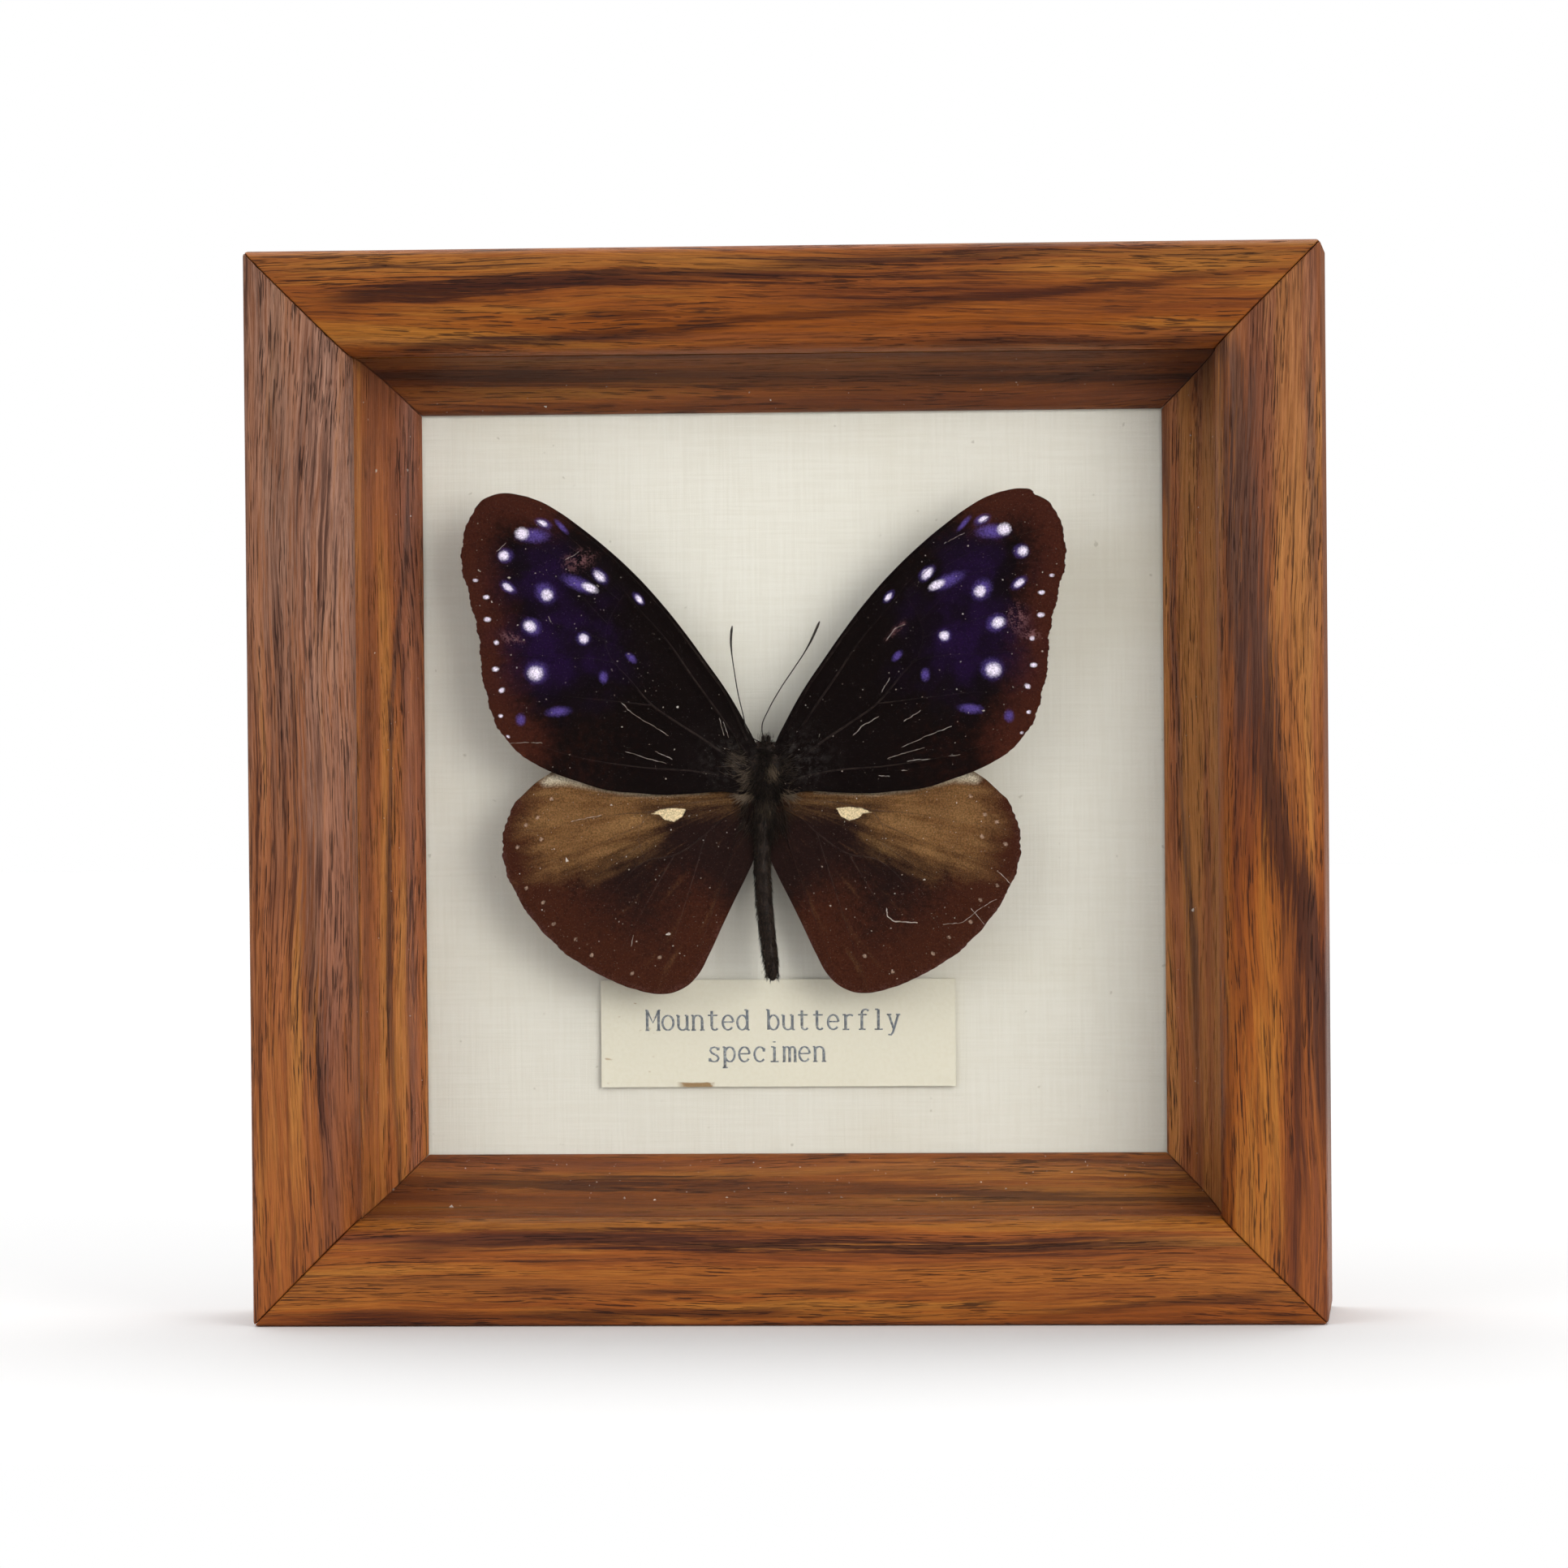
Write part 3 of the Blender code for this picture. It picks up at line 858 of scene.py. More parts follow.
def points_of(piece: Piece) -> np.ndarray:
    """The places of a piece's points, one row for each."""
    flat = np.empty(len(piece.data.vertices) * 3, np.float32)
    piece.data.vertices.foreach_get("co", flat)
    return flat.reshape(-1, 3).astype(float)


def move_points(piece: Piece, places: np.ndarray) -> None:
    """Moves a piece's points to new places, one row for each."""
    piece.data.vertices.foreach_set("co", places.astype(np.float32).ravel())
    piece.data.update()


def joined(pieces: Sequence[Piece], name: str) -> Piece:
    """Joins pieces into the first of them and names it."""
    only(pieces[0])
    for piece in pieces[1:]:
        piece.select_set(True)
    bpy.ops.object.join()
    pieces[0].name = pieces[0].data.name = name
    return pieces[0]


def fresh(add: Callable[..., object], **settings: object) -> Piece:
    """Makes a new primitive with one of Blender's operators, with nothing else selected."""
    bpy.ops.object.select_all(action="DESELECT")
    add(**settings)
    return bpy.context.object


class Bench:
    """A piece held in edit mode and shaped by operators, each on what a test picks out."""

    def __init__(self, piece: Piece) -> None:
        """Takes the piece to shape."""
        self.piece = piece

    @classmethod
    def block(cls, name: str, low: Vector, high: Vector) -> "Bench":
        """Starts from a block between two corners.

        Args:
            name: the piece's name.
            low: its lowest corner.
            high: its highest corner.

        Returns:
            The bench with the block on it.
        """
        piece = fresh(bpy.ops.mesh.primitive_cube_add, size=1.0, location=(low + high) / 2)
        piece.name = piece.data.name = name
        piece.scale = high - low
        bpy.ops.object.transform_apply(location=True, rotation=True, scale=True)
        return cls(piece)

    def __enter__(self) -> "Bench":
        """Opens edit mode."""
        only(self.piece)
        bpy.ops.object.mode_set(mode="EDIT")
        return self

    def __exit__(self, *trouble: object) -> None:
        """Closes edit mode."""
        bpy.ops.object.mode_set(mode="OBJECT")

    def pick(self, kind: str, test: Callable[[object], bool]) -> int:
        """Selects what passes a test, and nothing else.

        Args:
            kind: FACE or EDGE.
            test: says whether a face or an edge is picked.

        Returns:
            How many were picked.
        """
        bpy.ops.mesh.select_mode(type=kind)
        bpy.ops.mesh.select_all(action="DESELECT")
        mesh = bmesh.from_edit_mesh(self.piece.data)
        picked = [item for item in (mesh.faces if kind == "FACE" else mesh.edges) if test(item)]
        for item in picked:
            item.select_set(True)
        bmesh.update_edit_mesh(self.piece.data)
        return len(picked)

    def picked_points(self) -> list[Vector]:
        """The places of the selected points."""
        mesh = bmesh.from_edit_mesh(self.piece.data)
        return [vertex.co.copy() for vertex in mesh.verts if vertex.select]

    def extrude(self, move: Sequence[float]) -> None:
        """Draws what is selected out along a vector."""
        bpy.ops.mesh.extrude_region_move(TRANSFORM_OT_translate={"value": move})

    def set_heights(self, low: float, high: float) -> None:
        """Stretches and moves what is selected so that it spans two heights.

        Args:
            low: its new lowest z.
            high: its new highest z.
        """
        heights = [point.z for point in self.picked_points()]
        was_low, was_high = min(heights), max(heights)
        middle = Vector((0, 0, (was_low + was_high) / 2))
        bpy.ops.transform.resize(value=(1, 1, (high - low) / (was_high - was_low)), center_override=middle)
        bpy.ops.transform.translate(value=(0, 0, (low + high) / 2 - middle.z))

    def trim(self, point: Vector, normal: Vector) -> None:
        """Cuts away what lies beyond a plane, on its normal's side, and closes the cut."""
        bpy.ops.mesh.select_all(action="SELECT")
        bpy.ops.mesh.bisect(plane_co=point, plane_no=normal, use_fill=True, clear_outer=True,
                            threshold=1e-7)

    def merge(self, distance: float = 1e-6) -> None:
        """Merges points that lie together and turns every face outwards."""
        bpy.ops.mesh.select_all(action="SELECT")
        bpy.ops.mesh.remove_doubles(threshold=distance)
        bpy.ops.mesh.normals_make_consistent(inside=False)


def smooth(piece: Piece, degrees: float) -> None:
    """Shades a piece smooth, but keeps the edges that are sharper than some degrees crisp."""
    only(piece)
    bpy.ops.object.shade_smooth_by_angle(angle=math.radians(degrees))


def thicken(piece: Piece, thickness: float, offset: float = 0.0) -> None:
    """Gives a sheet its thickness and applies it.

    Args:
        piece: the sheet.
        thickness: its thickness, in metres.
        offset: -1 to grow against the normals, 1 along them and 0 both ways.
    """
    only(piece)
    wall = piece.modifiers.new("thickness", "SOLIDIFY")
    wall.thickness, wall.offset = thickness, offset
    bpy.ops.object.modifier_apply(modifier=wall.name)


def wire(name: str, fineness: int) -> bpy.types.Curve:
    """Starts a curve with a round section, whose radius is set at each point in millimetres.

    Args:
        name: its name.
        fineness: how finely its section is rounded.

    Returns:
        The curve.
    """
    line = bpy.data.curves.new(name, "CURVE")
    line.dimensions, line.bevel_depth, line.bevel_resolution, line.use_fill_caps = "3D", MM, fineness, True
    return line


def add_run(line: bpy.types.Curve, places: np.ndarray, radii: np.ndarray) -> None:
    """Adds a run of straight pieces to a curve.

    Args:
        line: the curve.
        places: one row for each point, in metres.
        radii: the radius at each, in millimetres.
    """
    spline = line.splines.new("POLY")
    spline.points.add(len(places) - 1)
    for point, place, radius in zip(spline.points, places, radii):
        point.co, point.radius = (*place, 1), radius


def add_bow(line: bpy.types.Curve, places: np.ndarray, radii: np.ndarray, closed: bool = False) -> None:
    """Adds a smooth bow through some places to a curve.

    Args:
        line: the curve.
        places: one row for each point, in metres.
        radii: the radius at each, in millimetres.
        closed: whether it comes back to its start.
    """
    spline = line.splines.new("BEZIER")
    spline.use_cyclic_u = closed
    spline.bezier_points.add(len(places) - 1)
    for point, place, radius in zip(spline.bezier_points, places, radii):
        point.co, point.radius = place, radius
        point.handle_left_type = point.handle_right_type = "AUTO"


def as_mesh(name: str, line: bpy.types.Curve) -> Piece:
    """Turns a curve into a mesh piece with a name."""
    piece = bpy.data.objects.new(name, line)
    bpy.context.scene.collection.objects.link(piece)
    only(piece)
    bpy.ops.object.convert(target="MESH")
    return piece


# ---------------------------------------------------------------- the frame


@dataclass(frozen=True)
class Step:
    """A place on a strip's section, in millimetres.

    Attributes:
        depth: how far it lies behind the front.
        low: the inset of its outer edge.
        high: the inset of its inner edge.
    """

    depth: float
    low: float
    high: float


@dataclass
class MitredStrips:
    """Four mitred strips that run round the frame.

    Attributes:
        plan: the frame's lines.
        name: what the strips are called.
        slot: a name handed on to dress, which does not use it.
        steps: the section, from the back to the front.
        finishes: the wood of each side.
        gap: half of what stands open in a mitre, in millimetres.
        groove: how far the mitre's edges are broken, in millimetres.
        corner: the radius of the frame's outer corners, in millimetres.
    """

    plan: Plan
    name: str
    slot: str
    steps: Sequence[Step]
    finishes: Sequence[WoodFinish]
    gap: float = 0.05
    groove: float = 0.14
    corner: float = 0.0

    def build(self) -> None:
        """Models one strip, copies it round the frame and dresses the four."""
        strip = self.model()
        for finish in self.finishes:
            node = f"{self.name}_{finish.side.word}"
            piece = self.copy(strip, finish.side, node)
            dress(piece, finish.material(node + "_wood", self.plan), self.slot, node)
        bpy.data.objects.remove(strip)

    def model(self) -> Piece:
        """Models the bottom strip by drawing a block forward step by step and mitring its ends."""
        back, first = self.steps[0], self.steps[1]
        plan = self.plan
        low = Vector((plan.left, plan.depth(first.depth), plan.bottom + first.low * MM))
        high = Vector((plan.right, plan.depth(back.depth), plan.bottom + first.high * MM))
        with Bench.block("strip", low, high) as bench:
            bench.pick("FACE", lambda face: face.normal.y < -0.9)
            for before, step in zip(self.steps[1:], self.steps[2:]):
                bench.extrude((0, (step.depth - before.depth) * MM, 0))
                bench.set_heights(plan.bottom + step.low * MM, plan.bottom + step.high * MM)
            bench.merge()
            for end in (-1, 1):
                self.mitre(bench, end)
                if self.corner:
                    self.round_corner(bench, end)
            bench.merge()
        smooth(bench.piece, 38)
        return bench.piece

    def mitre(self, bench: Bench, end: int) -> None:
        """Cuts one mitre and breaks its edges.

        Args:
            bench: the bench with the strip.
            end: -1 for the left end and 1 for the right one.
        """
        tip = Vector((self.plan.left if end < 0 else self.plan.right, 0, self.plan.bottom))
        normal = Vector((end, 0, 1)).normalized()
        bench.trim(tip - normal * self.gap * MM, normal)
        bpy.ops.mesh.select_mode(type="EDGE")
        bpy.ops.mesh.bevel(offset=self.groove * MM, segments=1, affect="EDGES", clamp_overlap=True)

    def round_corner(self, bench: Bench, end: int) -> None:
        """Rounds the frame's outer corner with a few flat cuts.

        Args:
            bench: the bench with the strip.
            end: -1 for the left end and 1 for the right one.
        """
        side = self.plan.left if end < 0 else self.plan.right
        middle = Vector((side - end * self.corner * MM, 0, self.plan.bottom + self.corner * MM))
        cuts = 4
        for step in range(1, cuts + 1):
            turn = math.radians(45) * step / cuts
            normal = Vector((end * math.sin(turn), 0, -math.cos(turn)))
            bench.trim(middle + normal * self.corner * MM, normal)

    def copy(self, strip: Piece, side: Side, name: str) -> Piece:
        """Copies the bottom strip to another side under a name, with a mesh of its own."""
        piece = strip.copy()
        piece.data = strip.data.copy()
        piece.name, piece.data.name = name + "_wood", name
        bpy.context.scene.collection.objects.link(piece)
        centre = Vector(((self.plan.left + self.plan.right) / 2, 0, self.plan.middle))
        turn = Matrix.Rotation(math.radians(side.value), 4, "Y")
        piece.data.transform(Matrix.Translation(centre) @ turn @ Matrix.Translation(-centre))
        return piece


RAIL_STEPS = (
    Step(27, 0, 9.6), Step(4.7, 0, 9.6), Step(4.7, 0, 12.55), Step(3.0, 0, 12.55), Step(1.9, 0, 12.2),
    Step(1.3, 0.02, 11.75), Step(0.75, 0.2, 11.0), Step(0.35, 0.75, 9.95), Step(0.1, 2.3, 8.4),
    Step(0, 4.4, 6.4),
)
LINER_STEPS = (
    Step(16.7, 9.9, 19.3), Step(16.3, 9.9, 19.3), Step(15.9, 9.9, 18.95), Step(15.5, 9.9, 17.9),
    Step(14.8, 9.9, 16.3), Step(13.6, 9.9, 15.0), Step(11.8, 9.9, 13.9), Step(9.8, 9.9, 13.1),
    Step(7.3, 9.9, 12.6),
)
RAIL_FACE = (0.0, 12.55)
LINER_FACE = (12.55, 19.3)

# Painted sheen pales the left and right rails along part of their length; the left one also has a painted
# mauve sheen by its inner edge.
RAIL_WOODS = (
    WoodFinish(Side.TOP, (
        Figure(((0.0, 0.13), (0.35, 0.12), (0.5, 0.06)), 0.12,
            ((0.02, 0.3), (0.1, 0.8), (0.3, 0.7), (0.45, 0.0)), Tone.GOLD),
        Figure(((0.05, 0.47), (0.15, 0.4), (0.3, 0.3), (0.45, 0.24), (0.62, 0.14), (0.8, 0.06)), 0.1,
            ((0.05, 0.0), (0.12, 1.0), (0.3, 1.0), (0.42, 0.75), (0.66, 0.9), (0.85, 0.2))),
        Figure(((0.15, 0.92), (0.3, 0.84), (0.45, 0.72), (0.65, 0.55), (0.85, 0.38), (1.0, 0.24)), 0.06,
            ((0.1, 0.0), (0.2, 0.8), (0.5, 0.7), (0.8, 0.9), (0.97, 0.3))),
        Figure(((0.6, 0.93), (0.95, 0.9)), 0.06, ((0.6, 0.0), (0.7, 0.8), (0.9, 0.6), (0.96, 0.0))),
    ), RAIL_FACE, streaks=0.62, warmth=0.1, seed=3.0),
    WoodFinish(Side.BOTTOM, (
        Figure(((0.0, 0.32), (0.3, 0.4), (1.0, 0.45)), 0.2, ((0.0, 0.6), (0.4, 0.3), (1.0, 0.5)),
            Tone.GOLD),
        Figure(((0.05, 0.95), (1.0, 0.93)), 0.07, ((0.05, 0.5), (0.3, 0.9), (0.55, 0.2), (0.8, 0.9)),
            Tone.GOLD),
        Figure(((0.05, 0.07), (0.3, 0.1), (0.5, 0.14)), 0.06,
            ((0.05, 0.0), (0.1, 0.9), (0.2, 0.5), (0.3, 0.8), (0.45, 0.8), (0.56, 0.0))),
        Figure(((0.2, 0.34), (0.6, 0.33)), 0.045,
            ((0.2, 0.0), (0.27, 0.8), (0.33, 0.1), (0.39, 0.9), (0.46, 0.2), (0.53, 0.8), (0.6, 0.0))),
        Figure(((0.05, 0.7), (0.2, 0.78), (0.35, 0.82), (0.5, 0.78), (0.62, 0.72), (0.85, 0.76),
            (1.0, 0.7)), 0.1, ((0.08, 0.0), (0.16, 0.7), (0.3, 1.0), (0.6, 1.0), (0.8, 0.9),
            (0.97, 0.2))),
        Figure(((0.7, 0.1), (0.97, 0.27)), 0.05, ((0.68, 0.0), (0.78, 0.6), (0.9, 0.7), (0.98, 0.2))),
    ), RAIL_FACE, streaks=0.5, warmth=0.15, seed=21.0),
    WoodFinish(Side.LEFT, (
        Figure(((0.05, 0.3), (0.35, 0.35), (0.7, 0.3)), 0.16,
            ((0.0, 0.3), (0.15, 0.7), (0.5, 0.5), (0.7, 0.0))),
        Figure(((0.3, 0.66), (0.65, 0.6), (0.9, 0.75)), 0.1,
            ((0.25, 0.0), (0.45, 0.5), (0.6, 0.7), (0.9, 0.3))),
        Figure(((0.05, 0.93), (0.3, 0.9)), 0.1, ((0.05, 0.4), (0.2, 0.8), (0.35, 0.0)), Tone.RUSSET),
        # Painted sheen: a mauve band along the inner edge.
        Figure(((0.0, 0.86), (0.5, 0.82), (1.0, 0.84)), 0.26,
            ((0.1, 0.3), (0.3, 0.6), (0.6, 0.4), (0.9, 0.05)), Tone.PAINTED_MAUVE_SHEEN),
    ), RAIL_FACE, streaks=0.72, warmth=0.0, seed=38.0,
       bloom=((0.0, 0.46), (0.25, 0.38), (0.6, 0.14), (1.0, 0.02))),
    WoodFinish(Side.RIGHT, (
        Figure(((0.0, 0.4), (0.3, 0.25), (1.0, 0.8)), 0.2,
            ((0.0, 0.6), (0.3, 0.6), (0.6, 0.2), (1.0, 0.4)), Tone.GOLD),
        Figure(((0.08, 0.95), (0.12, 0.8), (0.25, 0.71), (0.36, 0.65), (0.47, 0.55), (0.56, 0.38),
            (0.63, 0.2), (0.71, 0.07), (0.85, 0.0)), 0.17,
            ((0.05, 0.0), (0.12, 0.9), (0.3, 1.0), (0.62, 1.0), (0.78, 0.7), (0.92, 0.0))),
        Figure(((0.1, 0.93), (0.3, 0.86), (0.5, 0.76)), 0.07,
            ((0.1, 0.6), (0.3, 0.8), (0.5, 0.2), (0.6, 0.0))),
        Figure(((0.6, 0.27), (1.0, 0.3)), 0.04, ((0.58, 0.0), (0.7, 0.8), (0.95, 0.7))),
        Figure(((0.1, 0.12), (0.3, 0.07)), 0.05, ((0.08, 0.0), (0.15, 0.7), (0.3, 0.5), (0.4, 0.0))),
    ), RAIL_FACE, streaks=0.55, warmth=-0.1, bloom=((0.0, 0.16), (0.35, 0.1), (0.6, 0.0)), seed=55.0),
)
# Painted shade darkens the top and bottom liners; painted sheen pales the left and right ones.
LINER_WOODS = (
    WoodFinish(Side.TOP, (
        Figure(((0.0, 0.26), (0.2, 0.32), (0.45, 0.38), (0.7, 0.45), (1.0, 0.42)), 0.13,
            ((0.0, 0.7), (0.2, 1.0), (0.45, 0.7), (0.8, 1.0), (1.0, 0.8))),
    ), LINER_FACE, streaks=0.35, warmth=-0.1, painted_shade=0.3, seed=72.0),
    WoodFinish(Side.BOTTOM, (
        Figure(((0.5, 0.72), (0.8, 0.66), (0.95, 0.62)), 0.2,
            ((0.48, 0.0), (0.65, 0.9), (0.9, 1.0), (0.97, 0.3)), Tone.GOLD),
        Figure(((0.05, 0.5), (0.2, 0.52), (0.36, 0.5), (0.5, 0.42), (0.62, 0.34), (0.8, 0.24),
            (1.0, 0.15)), 0.12, ((0.0, 0.4), (0.2, 0.7), (0.35, 1.0), (0.5, 0.6), (0.7, 0.9),
            (1.0, 0.8))),
        Figure(((0.7, 0.87), (0.95, 0.83)), 0.06, ((0.7, 0.0), (0.78, 0.7), (0.92, 0.8), (0.97, 0.0))),
    ), LINER_FACE, streaks=0.45, warmth=0.1, painted_shade=0.36, seed=89.0),
    WoodFinish(Side.LEFT, (
        Figure(((0.05, 0.82), (0.25, 0.74), (0.4, 0.5), (0.55, 0.38), (0.75, 0.42), (1.0, 0.62)), 0.05,
            ((0.05, 0.3), (0.3, 0.7), (0.5, 0.9), (0.8, 0.7), (1.0, 0.5))),
        Figure(((0.45, 0.68), (0.9, 0.72)), 0.04, ((0.4, 0.0), (0.6, 0.5), (0.9, 0.4))),
    ), LINER_FACE, streaks=0.5, warmth=0.0, bloom=((0.0, 0.12), (1.0, 0.08)), seed=106.0),
    WoodFinish(Side.RIGHT, (
        Figure(((0.0, 0.28), (0.3, 0.2)), 0.22, ((0.0, 0.9), (0.12, 0.6), (0.3, 0.0))),
        Figure(((0.15, 0.97), (0.3, 0.88), (0.45, 0.76), (0.58, 0.62), (0.72, 0.45), (0.95, 0.4)), 0.08,
            ((0.12, 0.0), (0.25, 0.8), (0.45, 0.6), (0.6, 0.9), (0.85, 0.4), (0.95, 0.6))),
    ), LINER_FACE, streaks=0.2, warmth=0.9, bloom=((0.0, 0.14), (1.0, 0.1)), seed=123.0),
)


# ---------------------------------------------------------------- glass, board, label


@dataclass
class GlazedBox:
    """The glass, the mounting board and the back with its fittings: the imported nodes, better dressed."""

    def build(self) -> None:
        """Dresses each of them."""
        glass = repaint("glass_pane", ClearGlass().material())
        glass.visible_shadow = False
        repaint("mount_board", LinenPaper().material())
        repaint("back_panel", Hardboard().material())
        zinc = Metal("zinc_plate", colour("c9c6bd"), colour("8d7f6c")).material()
        steel = Metal("nail_steel", colour("b9b4aa"), colour("6f5a45"), 2.5).material()
        repaint("sawtooth_hanger", zinc)
        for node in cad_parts:
            if node.startswith(("brad_", "hanger_nail_", "insect_pin")):
                repaint(node, steel)


def arc(x: float, y: float, wide: float, tall: float, start: float, end: float) -> Points:
    """Part of an oval.

    Args:
        x: its middle, across.
        y: its middle, upwards.
        wide: its radius across.
        tall: its radius upwards.
        start: where it starts, in degrees from the right.
        end: where it ends.

    Returns:
        Its points.
    """
    steps = max(5, round(abs(end - start) / 22))
    turns = [math.radians(start + (end - start) * step / steps) for step in range(steps + 1)]
    return tuple((x + wide * math.cos(turn), y + tall * math.sin(turn)) for turn in turns)


def bar(x0: float, x1: float, y: float) -> Points:
    """A level stroke or serif."""
    return (x0, y), (x1, y)


def stem(x: float, y0: float, y1: float) -> Points:
    """An upright stroke."""
    return (x, y0), (x, y1)


# The typed letters as strokes in a cell of width 1, with small letters 1 high.
LETTERS: dict[str, tuple[Points, ...]] = {
    "M": (stem(0.12, 0, 1.36), stem(0.88, 0, 1.36), ((0.12, 1.34), (0.5, 0.5), (0.88, 1.34)),
        bar(0, 0.27, 0), bar(0.73, 1, 0), bar(0, 0.14, 1.36), bar(0.86, 1, 1.36)),
    "b": (stem(0.2, 0, 1.36), bar(0.04, 0.2, 1.36), arc(0.53, 0.5, 0.33, 0.5, 0, 360)),
    "c": (arc(0.53, 0.5, 0.36, 0.5, 42, 318), stem(0.8, 0.68, 0.9)),
    "d": (stem(0.78, 0, 1.36), bar(0.6, 0.78, 1.36), bar(0.78, 0.94, 0),
        arc(0.45, 0.5, 0.33, 0.5, 0, 360)),
    "e": (arc(0.5, 0.5, 0.35, 0.5, 4, 322), bar(0.16, 0.84, 0.54)),
    "f": (stem(0.4, 0, 1.1), arc(0.64, 1.1, 0.24, 0.26, 180, 35), bar(0.16, 0.74, 1), bar(0.2, 0.64, 0)),
    "i": (stem(0.5, 0, 1), bar(0.28, 0.5, 1), bar(0.24, 0.78, 0), stem(0.49, 1.3, 1.38)),
    "l": (stem(0.5, 0, 1.36), bar(0.28, 0.5, 1.36), bar(0.24, 0.78, 0)),
    "m": (stem(0.15, 0, 1), stem(0.51, 0, 0.8), stem(0.87, 0, 0.8), arc(0.33, 0.77, 0.18, 0.23, 180, 0),
        arc(0.69, 0.77, 0.18, 0.23, 180, 0), bar(0.03, 0.15, 1), bar(0.04, 0.25, 0), bar(0.42, 0.6, 0),
        bar(0.77, 0.98, 0)),
    "n": (stem(0.2, 0, 1), arc(0.49, 0.69, 0.29, 0.31, 180, 0), stem(0.78, 0, 0.69), bar(0.05, 0.2, 1),
        bar(0.06, 0.36, 0), bar(0.64, 0.94, 0)),
    "o": (arc(0.5, 0.5, 0.37, 0.5, 0, 360),),
    "p": (stem(0.2, -0.4, 1), bar(0.05, 0.2, 1), bar(0.05, 0.38, -0.4),
        arc(0.53, 0.5, 0.33, 0.5, 0, 360)),
    "r": (stem(0.32, 0, 1), bar(0.12, 0.32, 1), bar(0.12, 0.56, 0), arc(0.62, 0.66, 0.3, 0.34, 165, 50)),
    "s": (((0.76, 0.8), (0.68, 0.94), (0.5, 1), (0.29, 0.93), (0.23, 0.76), (0.33, 0.6), (0.68, 0.42),
        (0.78, 0.25), (0.7, 0.07), (0.49, 0), (0.28, 0.06), (0.2, 0.22)), stem(0.76, 0.78, 0.98),
        stem(0.2, 0.02, 0.24)),
    "t": (stem(0.42, 0.24, 1.3), arc(0.62, 0.22, 0.2, 0.22, 180, 330), bar(0.16, 0.8, 1)),
    "u": (stem(0.2, 0.3, 1), arc(0.48, 0.3, 0.28, 0.3, 180, 350), stem(0.78, 0, 1), bar(0.05, 0.2, 1),
        bar(0.62, 0.78, 1), bar(0.78, 0.95, 0)),
    "y": (((0.2, 1), (0.5, 0.06)), ((0.82, 1), (0.46, -0.2), (0.34, -0.38), (0.15, -0.36)),
        bar(0.06, 0.36, 1), bar(0.66, 0.96, 1)),
}


